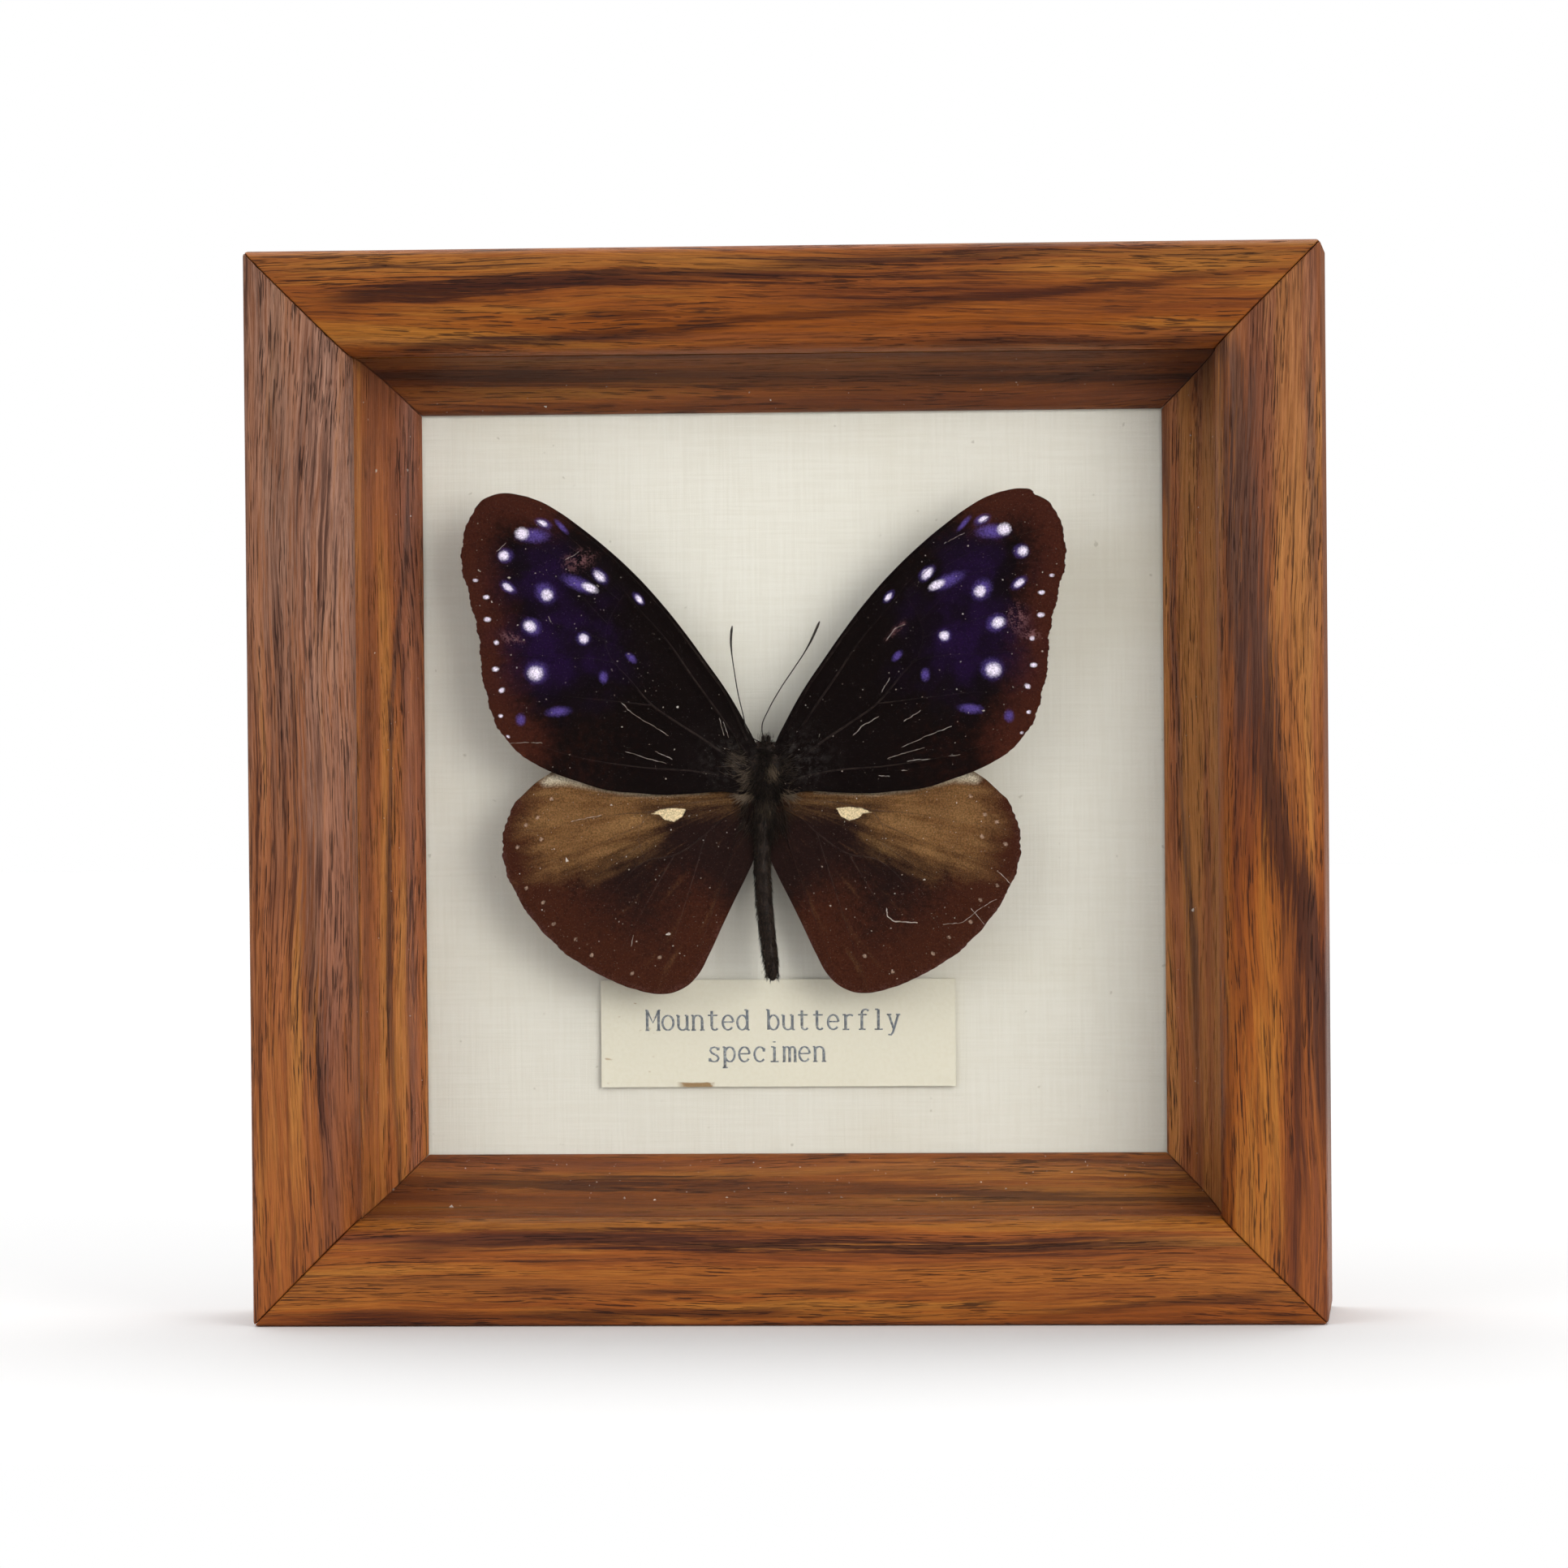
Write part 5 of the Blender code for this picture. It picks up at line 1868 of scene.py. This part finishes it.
@dataclass
class InsectBody:
    """The head, thorax and ringed abdomen, with their hair.

    Attributes:
        plan: the frame's lines.
        depth: how far the body's axis lies behind the front, in millimetres.
        spine: the abdomen's axis and radius: out to the right, up, and radius, in millimetres.
        rings: how many rings the abdomen has.
    """

    plan: Plan
    depth: float = 11.2
    spine: Sequence[tuple[float, float, float]] = (
        (0.0, -1.6, 1.3), (-0.2, -3.6, 1.05), (-0.5, -6.0, 0.93), (-0.6, -10.0, 0.94), (-0.35, -14.7, 0.93),
        (0.0, -18.0, 0.9), (0.35, -21.0, 0.84), (0.5, -22.7, 0.66), (0.52, -23.3, 0.3))
    rings: int = 9
    tufts: Sequence[Tuft] = (
        Tuft((-3.0, 2.6, 10.0), (1.0, 1.3, 0.1), (-1.0, 0.45, -0.25), 150, 1.7, (0.1, 0.5)),
        Tuft((-2.0, 1.0, 9.9), (0.7, 1.2, 0.2), (-0.8, -0.5, -0.4), 160, 1.3, (0.1, 0.6)),
        Tuft((2.2, 2.0, 10.0), (0.8, 1.5, 0.2), (0.9, 0.4, -0.3), 150, 1.3, (0.0, 0.4)),
        Tuft((0.7, 1.6, 9.3), (0.5, 0.7, 0.2), (0.5, -0.9, -0.5), 120, 1.1, (0.4, 0.9)),
        Tuft((-2.2, -1.0, 10.4), (0.9, 0.5, 0.2), (-0.9, -0.6, -0.3), 170, 1.5, (0.3, 0.9)),
        Tuft((2.4, -0.9, 10.4), (0.9, 0.5, 0.2), (0.9, -0.5, -0.3), 170, 1.5, (0.35, 0.95)),
        Tuft((-2.4, -3.6, 11.0), (0.6, 1.8, 0.2), (-0.6, -1.0, -0.15), 150, 1.5, (0.0, 0.35)),
        Tuft((2.0, -3.6, 11.0), (0.6, 1.8, 0.2), (0.6, -1.0, -0.15), 150, 1.5, (0.0, 0.3)),
        Tuft((0.0, -2.6, 9.9), (1.1, 0.9, 0.3), (0.0, -1.0, -0.25), 220, 1.3, (0.0, 0.5)),
        Tuft((-0.9, -4.6, 10.5), (0.7, 1.6, 0.2), (-0.15, -1.0, -0.1), 260, 1.5, (0.0, 0.25)),
        Tuft((0.6, -4.6, 10.5), (0.7, 1.6, 0.2), (0.25, -1.0, -0.1), 260, 1.5, (0.0, 0.25)),
        Tuft((0.0, 5.4, 10.8), (0.7, 0.3, 0.4), (0.0, 1.0, -0.2), 90, 0.5, (0.0, 0.25)),
    )

    def build(self) -> None:
        """Models the body, its eyes and its hair."""
        body = joined([self.model_abdomen(), *self.model_front()], "butterfly_body_skin")
        smooth(body, 50)
        skin = Skin("body_skin", colour("120b09"), colour("36281f")).material()
        down = Down("body_down", colour("120b09"), colour("85735f")).material()
        dress(body, skin, "insect_body", "butterfly_body")
        lens = Skin("eye_skin", colour("120b08"), colour("33231a"), 0.2)
        dress(self.model_eyes(), lens.material(), "insect_body")
        for grown in (self.grow_coat(), self.grow_tufts(), self.grow_abdomen_hair()):
            dress(grown, down, "insect_body")

    def at(self, out: float, height: float, behind: float) -> Vector:
        """A place by its millimetres from the axis, the middle and the front."""
        return Vector((self.plan.axis + out * MM, self.plan.depth(behind), self.plan.middle + height * MM))

    def spine_at(self, heights: np.ndarray) -> tuple[np.ndarray, np.ndarray]:
        """How far right the abdomen's axis lies at some heights, and its radius there."""
        table = np.array(self.spine[::-1])
        return np.interp(heights, table[:, 1], table[:, 0]), np.interp(heights, table[:, 1], table[:, 2])

    def model_abdomen(self) -> Piece:
        """Models the abdomen by drawing a disc down the spine, ring by ring."""
        top, foot = self.spine[0][1], self.spine[-1][1]
        heights, swell = [], []
        for ring in range(self.rings):
            for share, size in ((0.0, 0.9), (0.14, 0.99), (0.5, 1.05), (0.86, 1.0)):
                heights.append(top + (foot - top) * (ring + share) / self.rings)
                swell.append(size)
        heights, swell = np.array(heights + [foot]), np.array(swell + [0.6])
        outs, radii = self.spine_at(heights)
        radii = radii * swell
        piece = fresh(bpy.ops.mesh.primitive_circle_add, vertices=28, radius=radii[0] * MM, fill_type="NGON",
                      location=self.at(outs[0], heights[0], self.depth))
        bpy.ops.object.transform_apply(location=True)
        with Bench(piece) as bench:
            bpy.ops.mesh.select_all(action="SELECT")
            for index in range(1, len(heights)):
                shift = Vector((outs[index] - outs[index - 1], 0, heights[index] - heights[index - 1])) * MM
                bench.extrude(shift)
                scale = radii[index] / radii[index - 1]
                centre = self.at(outs[index], heights[index], self.depth)
                bpy.ops.transform.resize(value=(scale, scale, scale), center_override=centre)
            bench.merge(1e-7)
        return piece

    @staticmethod
    def ball(centre: Vector, size: Sequence[float]) -> Piece:
        """Models a rounded mass by its middle and its three radii in millimetres."""
        piece = fresh(bpy.ops.mesh.primitive_uv_sphere_add, segments=28, ring_count=18, radius=MM,
                      location=centre)
        piece.scale = size
        bpy.ops.object.transform_apply(location=True, rotation=True, scale=True)
        return piece

    def model_front(self) -> list[Piece]:
        """Models the head, the thorax with its two shoulder plates, and the palps."""
        parts = [self.ball(self.at(0, 1.0, self.depth), (1.95, 1.75, 3.5)),
                 self.ball(self.at(0, 4.2, self.depth - 0.1), (1.35, 1.05, 0.95))]
        for side in (-1, 1):
            parts.append(self.ball(self.at(side * 1.0, 1.9, self.depth - 0.75), (1.0, 0.8, 1.9)))
            parts.append(self.ball(self.at(side * 0.32, 5.25, self.depth - 0.25), (0.24, 0.3, 0.6)))
        return parts

    def model_eyes(self) -> Piece:
        """Models the two faceted eyes."""
        size, behind = (0.52, 0.55, 0.6), self.depth - 0.55
        eyes = [self.ball(self.at(out, 4.5, behind), size) for out in (-0.95, 0.95)]
        piece = joined(eyes, "butterfly_eyes")
        smooth(piece, 50)
        return piece

    def grow_coat(self) -> Piece:
        """Grows the short coat of the thorax and head, lying back towards the abdomen."""
        draw = np.random.default_rng(11)
        count = 3600
        way = draw.normal(size=(count, 3))
        way /= np.linalg.norm(way, axis=1, keepdims=True)
        way[:, 1] = -np.abs(way[:, 1]) * 0.9 - 0.1
        head = draw.random(count) < 0.17
        radii = np.where(head[:, None], (1.35, 1.05, 0.95), (2.0, 1.85, 3.5)) * MM
        centre = np.where(head[:, None], self.at(0, 4.2, self.depth - 0.1), self.at(0, 1.0, self.depth))
        roots = centre + way * radii * 0.97
        aims = way * (0.9, 0.9, 0.35) + (0, 0, -0.55) + draw.normal(scale=0.28, size=(count, 3))
        aims[head] += (0, -0.3, 0.9)
        lengths = draw.uniform(0.45, 1.15, count) * MM * np.where(head, 0.6, 1.0)
        tones = np.clip(draw.beta(0.9, 7.0, count) * 0.8, 0, 1)
        bends = draw.normal(scale=0.12, size=(count, 3)) * MM
        return hair("thorax_coat", roots, aims, lengths, 0.024 * MM, bends, tones)

    def grow_tufts(self) -> Piece:
        """Grows the longer tufts at the wings' roots and down the waist."""
        draw = np.random.default_rng(23)
        roots, aims, lengths, tones = [], [], [], []
        for tuft in self.tufts:
            centre = np.array(self.at(*tuft.centre))
            spread = np.array((tuft.spread[0], tuft.spread[2], tuft.spread[1])) * MM
            roots.append(centre + draw.normal(size=(tuft.count, 3)) * spread * 0.6)
            aim = np.array((tuft.aim[0], tuft.aim[2], tuft.aim[1]))
            aims.append(aim + draw.normal(scale=0.33, size=(tuft.count, 3)) * (1, 0.5, 1))
            lengths.append(draw.uniform(0.5, 1.3, tuft.count) * tuft.length * MM)
            tones.append(draw.uniform(*tuft.tones, tuft.count))
        count = sum(tuft.count for tuft in self.tufts)
        bends = draw.normal(scale=0.16, size=(count, 3)) * (1, 0.4, 1) * MM
        return hair("wing_root_tufts", np.concatenate(roots), np.concatenate(aims), np.concatenate(lengths),
                    0.022 * MM, bends, np.concatenate(tones))

    def grow_abdomen_hair(self) -> Piece:
        """Grows the close hair of the abdomen, which lies towards its tip."""
        draw = np.random.default_rng(37)
        count = 3000
        heights = draw.uniform(self.spine[-1][1] + 0.3, self.spine[0][1] - 0.8, count)
        outs, radii = self.spine_at(heights)
        turn = draw.uniform(-0.62 * math.pi, 0.62 * math.pi, count)
        way = np.column_stack((np.sin(turn), -np.cos(turn), np.zeros(count)))
        axis = np.column_stack((outs * MM + self.plan.axis, np.full(count, self.plan.depth(self.depth)),
                                heights * MM + self.plan.middle))
        roots = axis + way * (radii * 0.99)[:, None] * MM
        aims = way * 0.32 + (0, 0, -1.0) + draw.normal(scale=0.12, size=(count, 3))
        lengths = draw.uniform(0.35, 0.8, count) * MM
        tones = np.clip(draw.beta(1.2, 6, count) * 0.8, 0, 1)
        bends = draw.normal(scale=0.04, size=(count, 3)) * MM
        return hair("abdomen_hair", roots, aims, lengths, 0.02 * MM, bends, tones)


ANTENNA_ROUTES = {
    Hand.LEFT: ((-0.35, 4.9, 10.7), (-1.6, 5.6, 10.3), (-2.2, 6.6, 10.0), (-2.6, 8.3, 9.9),
        (-3.2, 10.9, 9.9), (-3.6, 13.4, 9.9), (-3.85, 15.2, 9.9), (-3.98, 17.0, 9.9), (-3.9, 18.2, 9.9),
        (-3.8, 18.85, 9.9)),
    Hand.RIGHT: ((0.3, 5.0, 10.7), (-0.3, 5.9, 10.2), (-0.35, 7.0, 9.8), (0.45, 8.9, 9.6),
        (1.9, 11.4, 9.6), (3.6, 13.9, 9.6), (4.75, 15.6, 9.6), (5.6, 17.1, 9.6), (6.2, 18.4, 9.6),
        (6.6, 19.3, 9.6)),
}


@dataclass
class Antenna:
    """One antenna: a fine jointed thread that thickens to a slim club.

    Attributes:
        plan: the frame's lines.
        hand: its side of the insect.
        joints: how many joints it shows.
    """

    plan: Plan
    hand: Hand
    joints: int = 34

    def build(self, finish: Material) -> None:
        """Models the antenna and dresses it in its finish."""
        route = np.array(ANTENNA_ROUTES[self.hand])
        run = np.concatenate(([0.0], np.cumsum(np.linalg.norm(np.diff(route, axis=0), axis=1))))
        steps = np.linspace(0, 1, self.joints * 2 + 1)
        bent = self.rounded(route, run, steps)
        out, up, behind = bent.T
        plan = self.plan
        places = np.column_stack((plan.axis + out * MM, plan.depth(behind), plan.middle + up * MM))
        club, end = 0.085 * smooth_step(steps, 0.72, 0.92), 1.0 - 0.6 * smooth_step(steps, 0.97, 1.0)
        ringed = np.where(np.arange(len(steps)) % 2, 1.0, 0.86)
        line = wire("antenna", 2)
        add_run(line, places, (0.075 + club) * end * ringed)
        piece = as_mesh(f"antenna_{self.hand.word}_thread", line)
        with Bench(piece) as bench:
            bench.merge(1e-8)
        smooth(piece, 60)
        dress(piece, finish, "insect_body", "antenna_" + self.hand.word)

    @staticmethod
    def rounded(route: np.ndarray, run: np.ndarray, steps: np.ndarray) -> np.ndarray:
        """Reads a smooth line through a route, at some shares of its length.

        Args:
            route: the route's points.
            run: the length of the route up to each.
            steps: the shares of the whole length to read.

        Returns:
            A place for each step.
        """
        slopes = np.gradient(route, run, axis=0)
        places = steps * run[-1]
        spans = np.clip(np.searchsorted(run, places, side="right") - 1, 0, len(run) - 2)
        width = (run[spans + 1] - run[spans])[:, None]
        t = ((places - run[spans])[:, None]) / width
        before = (2 * t ** 3 - 3 * t ** 2 + 1) * route[spans]
        before += (t ** 3 - 2 * t ** 2 + t) * width * slopes[spans]
        after = (3 * t ** 2 - 2 * t ** 3) * route[spans + 1] + (t ** 3 - t ** 2) * width * slopes[spans + 1]
        return before + after


@dataclass
class Butterfly:
    """The mounted insect: four wings, the body and two antennae."""

    plan: Plan

    def build(self) -> dict[str, Wing]:
        """Builds every part of the insect.

        Returns:
            The wings by name, for what lies on them.
        """
        front = ForewingScales("forewing_scales", colour("0d0605"), colour("3e1d13")).material()
        hind = HindwingScales("hindwing_scales", colour("20120f"), colour("3c1e12")).material()
        wings = {}
        for hand in Hand:
            edge = FOREWING_EDGE if hand is Hand.LEFT else self.chipped()
            root = self.plan.axis
            fore = Forewing(self.plan, hand, "forewing", edge, FOREWING_VEINS, root, 10.3)
            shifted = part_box("hindwing_left")[1].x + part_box("hindwing_right")[0].x
            behind = Hindwing(self.plan, hand, "hindwing", HINDWING_EDGE, HINDWING_VEINS, shifted / 2, 11.3)
            behind.build(hind)
            fore.build(front)
            wings[fore.kind + hand.word] = fore
            wings[behind.kind + hand.word] = behind
        InsectBody(self.plan).build()
        thread = Skin("antenna_skin", colour("1c1715"), colour("4a423c"), 0.4).material()
        for hand in Hand:
            Antenna(self.plan, hand).build(thread)
        return wings

    @staticmethod
    def chipped() -> Points:
        """The forewing's outline with the worn chip at its tip."""
        first = FOREWING_EDGE.index(CHIPPED_APEX[0])
        last = FOREWING_EDGE.index(CHIPPED_APEX[-1])
        return (*FOREWING_EDGE[:first], *CHIPPED_APEX, *FOREWING_EDGE[last + 1:])


LONG_FIBRE = ((14.8, -14.7), (14.95, -15.7), (15.7, -16.3), (18.5, -16.5))
LINT = {
    "forewingleft": (
        ((17.0, 9.9), (15.8, 8.6), (14.2, 7.6), (12.7, 6.7), (11.5, 5.9)),
        ((16.6, 4.1), (14.2, 3.3), (11.8, 2.6)), ((30.6, 5.1), (28.4, 5.25), (26.5, 5.2)),
        ((13.0, 4.0), (11.0, 3.1)), ((31.6, 27.9), (30.5, 28.9)), ((25.6, 20.2), (25.1, 19.2)),
        ((4.4, 5.6), (4.9, 7.4), (5.3, 8.3)), ((4.9, 5.9), (5.4, 7.9)), ((23.6, 26.8), (21.9, 27.7)),
    ),
    "forewingright": (
        ((16.2, 4.3), (19.4, 5.7), (22.2, 6.8)), ((14.5, 3.0), (16.7, 3.7), (18.9, 4.3)),
        ((16.9, 2.7), (20.1, 3.0), (23.2, 3.4)), ((10.5, 5.8), (11.7, 7.0), (13.6, 8.0)),
        ((16.5, 7.4), (18.5, 8.6)), ((14.5, 17.0), (15.6, 18.4), (16.8, 18.9)),
        ((13.5, 1.0), (14.8, 0.9)), ((16.2, 1.6), (16.9, 1.6)), ((21.5, 28.4), (23.9, 29.6)),
        ((13.9, 10.9), (14.9, 12.6)),
    ),
    "hindwingleft": (
        ((15.3, -17.8), (15.6, -19.1)), ((19.0, -3.5), (22.7, -4.2)),
    ),
    "hindwingright": (
        LONG_FIBRE, ((28.0, -10.3), (29.7, -12.0)), ((24.9, -14.8), (26.4, -16.7)),
        ((21.5, -16.7), (23.8, -16.5), (26.0, -14.8), (27.9, -13.7)),
    ),
}


@dataclass
class Dust:
    """What has settled in the box: pale flakes on the wood and the wings, and lint and rubbed lines.

    Attributes:
        plan: the frame's lines.
        wings: the wings by name.
        on_wood: how many flakes lie on each side of the liner.
        on_wing: how many lie on each wing.
    """

    plan: Plan
    wings: dict[str, Wing]
    on_wood: dict[Side, int] = field(default_factory=lambda: {
        Side.BOTTOM: 150, Side.TOP: 60, Side.LEFT: 45, Side.RIGHT: 45})
    on_wing: int = 230

    def build(self) -> None:
        """Models the flakes and the lint."""
        finish = DustFinish().material()
        for piece in (self.scatter_on_wood(), self.scatter_on_wings(), self.lay_lint()):
            dress(piece, finish, "card")

    @staticmethod
    def flakes(name: str, places: np.ndarray, sizes: np.ndarray, draw: np.random.Generator) -> Piece:
        """Makes many flat, uneven flakes as one piece.

        Args:
            name: the piece's name.
            places: the middle of each, in metres.
            sizes: the radius of each, in metres.
            draw: where the chances come from.

        Returns:
            The piece.
        """
        corners = np.array(((1, 0, 0), (0, 0, 1), (-1, 0, 0), (0, 0, -1), (0, 0.4, 0), (0, -0.4, 0)), float)
        jitter = draw.normal(scale=0.35, size=(len(places), 6, 3))
        shapes = (corners + jitter) * sizes[:, None, None] * (1, 0.5, 1)
        shapes[:, :, 0] *= draw.uniform(0.5, 1.5, (len(places), 1))
        one = [(a, b, tip) if tip == 5 else (b, a, tip) for a, b in ((0, 1), (1, 2), (2, 3), (3, 0))
               for tip in (4, 5)]
        piece = many_shapes(name, places[:, None, :] + shapes, one)
        with Bench(piece) as bench:
            bench.merge(1e-9)
        return piece

    def scatter_on_wood(self) -> Piece:
        """Scatters flakes over the liner, most of them on its bottom side."""
        draw = np.random.default_rng(5)
        section = np.array([(step.high, step.depth) for step in reversed(LINER_STEPS[1:])])
        centre = Vector(((self.plan.left + self.plan.right) / 2, 0, self.plan.middle))
        half = (self.plan.right - self.plan.left) / 2
        places = []
        for side, count in self.on_wood.items():
            inset = draw.uniform(12.9, 18.9, count)
            behind = np.interp(inset, section[:, 0], section[:, 1])
            along = draw.uniform(-1, 1, count) * (half - inset * MM)
            turn = math.radians(side.value)
            low = -(half - inset * MM)
            places.append(np.column_stack((centre.x + along * math.cos(turn) + low * math.sin(turn),
                                           self.plan.front + behind * MM,
                                           centre.z - along * math.sin(turn) + low * math.cos(turn))))
        places = np.concatenate(places)
        sizes = draw.lognormal(-2.9, 0.5, len(places)) * MM
        return self.flakes("liner_dust", places, sizes, draw)

    def scatter_on_wings(self) -> Piece:
        """Scatters flakes over the wings."""
        draw = np.random.default_rng(8)
        places = []
        for wing in self.wings.values():
            reach = np.array(wing.outline)
            tries = draw.uniform(reach.min(0), reach.max(0), (self.on_wing * 4, 2))
            kept = tries[inside_of(wing.outline, tries[:, 0], tries[:, 1]) > 0.6][:self.on_wing]
            places.append(self.on_wing_at(wing, kept, 0.08))
        places = np.concatenate(places)
        sizes = draw.lognormal(-3.4, 0.55, len(places)) * MM
        return self.flakes("wing_dust", places, sizes, draw)

    def on_wing_at(self, wing: Wing, flat: np.ndarray, proud: float) -> np.ndarray:
        """Places on a wing's face.

        Args:
            wing: the wing.
            flat: how far out and how high each place lies, in millimetres.
            proud: how far it stands off the sheet, in millimetres.

        Returns:
            The places, in metres.
        """
        stand = wing.relief(flat[:, 0], flat[:, 1]) + proud
        rise = flat[:, 0] * math.tan(math.radians(wing.lift))
        return np.column_stack((wing.root + wing.hand.value * flat[:, 0] * MM,
                                self.plan.depth(wing.depth) - (stand + rise) * MM,
                                self.plan.middle + flat[:, 1] * MM))

    def lay_lint(self) -> Piece:
        """Lays the threads of lint and the rubbed lines along the wings."""
        draw = np.random.default_rng(14)
        line = wire("lint", 0)
        for name, routes in LINT.items():
            for route in routes:
                corners = np.array(route)
                steps = np.linspace(0, len(corners) - 1, 6 * len(corners))
                knots = range(len(corners))
                flat = np.column_stack([np.interp(steps, knots, column) for column in corners.T])
                flat += draw.normal(scale=0.035, size=flat.shape)
                places = self.on_wing_at(self.wings[name], flat, 0.05)
                wide = 0.05 if route == LONG_FIBRE else 0.019
                add_run(line, places, wide * draw.uniform(0.6, 1.5, len(places)))
        piece = as_mesh("wing_lint", line)
        with Bench(piece) as bench:
            bench.merge(1e-9)
        return piece


# ---------------------------------------------------------------- the studio


@dataclass
class Studio:
    """A pale floor, soft lights from the front and above, a pale sky and the camera.

    Attributes:
        plan: the frame's lines.
        distance: how far the camera stands off, in metres.
        turn: how far it stands to the right of the frame's middle, in degrees.
        rise: how far it looks down, in degrees.
        lean: how far it leans over, in degrees.
        lens: its focal length, in millimetres.
        aim: how far right of the frame's middle and above it the camera looks, in millimetres.
        floor: the floor's width, its depth and the y of its front edge, in metres.
    """

    plan: Plan
    distance: float = 1.0
    turn: float = 4.565
    rise: float = 1.308
    lean: float = -0.498
    lens: float = 195.6
    aim: tuple[float, float] = (0.124, 0.281)
    floor: tuple[float, float, float] = (6.0, 1.8, -0.17)

    def build(self) -> None:
        """Sets the floor, the lights, the sky and the camera."""
        self.lay_floor()
        self.light("key_light", Vector((0.8, -1.05, 0.34)), 0.7, 7.4, (1.0, 0.985, 0.96))
        self.light("fill_light", Vector((-0.7, -1.1, 0.6)), 0.8, 3.4, (0.97, 0.98, 1.0))
        self.light("floor_light", Vector((0.0, 1.0, 1.7)), 1.6, 20.0, (1.0, 1.0, 1.0), Vector((0, 0.9, 0)))
        self.hang_sky()
        self.place_camera()
        bpy.context.scene.view_settings.view_transform = "Standard"

    def lay_floor(self) -> None:
        """Lays the floor just under the frame; it ends short of what the glass mirrors."""
        width, depth, front = self.floor
        floor = fresh(bpy.ops.mesh.primitive_plane_add, size=width,
                      location=(0, front + depth / 2, self.plan.bottom - 0.02 * MM))
        floor.data.transform(Matrix.Diagonal((1.0, depth / width, 1.0, 1.0)))
        floor.name = "studio_floor"
        g = Graph("floor_paper")
        tint = g.noise(g.millimetres(), (0.004, 0.004, 0.004), 2.0)
        shade = g.mix(g.fade(tint, 0.3, 0.7), (0.9, 0.9, 0.9, 1), (0.93, 0.93, 0.93, 1))
        floor.data.materials.append(g.finish(Base_Color=shade, Roughness=0.9, Specular_IOR_Level=0.1))

    def light(self, name: str, place: Vector, size: float, power: float, tint: tuple[float, ...],
              towards: Vector | None = None) -> None:
        """Hangs a square soft light.

        Args:
            name: its name.
            place: where it hangs.
            size: its side, in metres.
            power: its power, in watts.
            tint: its colour.
            towards: what it is aimed at, or None for the frame.
        """
        lamp = bpy.data.lights.new(name, "AREA")
        lamp.size, lamp.energy, lamp.color = size, power, tint
        holder = bpy.data.objects.new(name, lamp)
        holder.location = place
        aim = (towards or Vector((0, 0, self.plan.middle))) - place
        holder.rotation_euler = aim.to_track_quat("-Z", "Y").to_euler()
        bpy.context.scene.collection.objects.link(holder)

    def hang_sky(self) -> None:
        """Makes the surroundings: white to the eye, and a softer light that is stronger from above."""
        sky = bpy.data.worlds.new("studio_sky")
        bpy.context.scene.world = sky
        sky.use_nodes = True
        nodes, links = sky.node_tree.nodes, sky.node_tree.links
        glow = nodes["Background"]
        glow.inputs["Color"].default_value = (1, 1, 1, 1)
        place = nodes.new("ShaderNodeTexCoord")
        parts = nodes.new("ShaderNodeSeparateXYZ")
        level = nodes.new("ShaderNodeMapRange")
        path = nodes.new("ShaderNodeLightPath")
        pick = nodes.new("ShaderNodeMix")
        links.new(place.outputs["Generated"], parts.inputs[0])
        links.new(parts.outputs["Z"], level.inputs["Value"])
        for name, value in (("From Min", 0.0), ("From Max", 1.0), ("To Min", 0.02), ("To Max", 1.0)):
            level.inputs[name].default_value = value
        links.new(path.outputs["Is Camera Ray"], pick.inputs[0])
        links.new(level.outputs[0], pick.inputs[2])
        pick.inputs[3].default_value = 1.0
        links.new(pick.outputs[0], glow.inputs["Strength"])

    def place_camera(self) -> None:
        """Stands the camera where it looks at the frame a little from the right and from above."""
        turn, rise, lean = (math.radians(angle) for angle in (self.turn, self.rise, self.lean))
        ahead = Vector((-math.sin(turn) * math.cos(rise), math.cos(turn) * math.cos(rise), -math.sin(rise)))
        target = Vector((self.aim[0] * MM, self.plan.front, self.plan.middle + self.aim[1] * MM))
        right = ahead.cross(Vector((0, 0, 1))).normalized()
        upward = right.cross(ahead)
        across = right * math.cos(lean) + upward * math.sin(lean)
        upright = upward * math.cos(lean) - right * math.sin(lean)
        camera = bpy.data.cameras.new("camera")
        camera.lens, camera.sensor_width = self.lens, 36.0
        camera.clip_start, camera.clip_end = 0.01, 100.0
        holder = bpy.data.objects.new("camera", camera)
        axes = Matrix((across, upright, -ahead)).transposed().to_4x4()
        holder.matrix_world = Matrix.Translation(target - ahead * self.distance) @ axes
        bpy.context.scene.collection.objects.link(holder)
        bpy.context.scene.camera = holder


def main() -> None:
    """Builds the frame, the glazed box, the label, the insect, the dust and the studio, in that order."""
    logging.basicConfig(level=logging.INFO, format="%(name)s: %(message)s")
    plan = Plan.read()
    MitredStrips(plan, "rail", "rail_wood", RAIL_STEPS, RAIL_WOODS, corner=0.8).build()
    MitredStrips(plan, "liner", "liner_wood", LINER_STEPS, LINER_WOODS, gap=0.03, groove=0.1).build()
    GlazedBox().build()
    LabelCard().build()
    wings = Butterfly(plan).build()
    Dust(plan, wings).build()
    Studio(plan).build()
    bpy.context.view_layer.update()


if __name__ == "__main__":
    main()
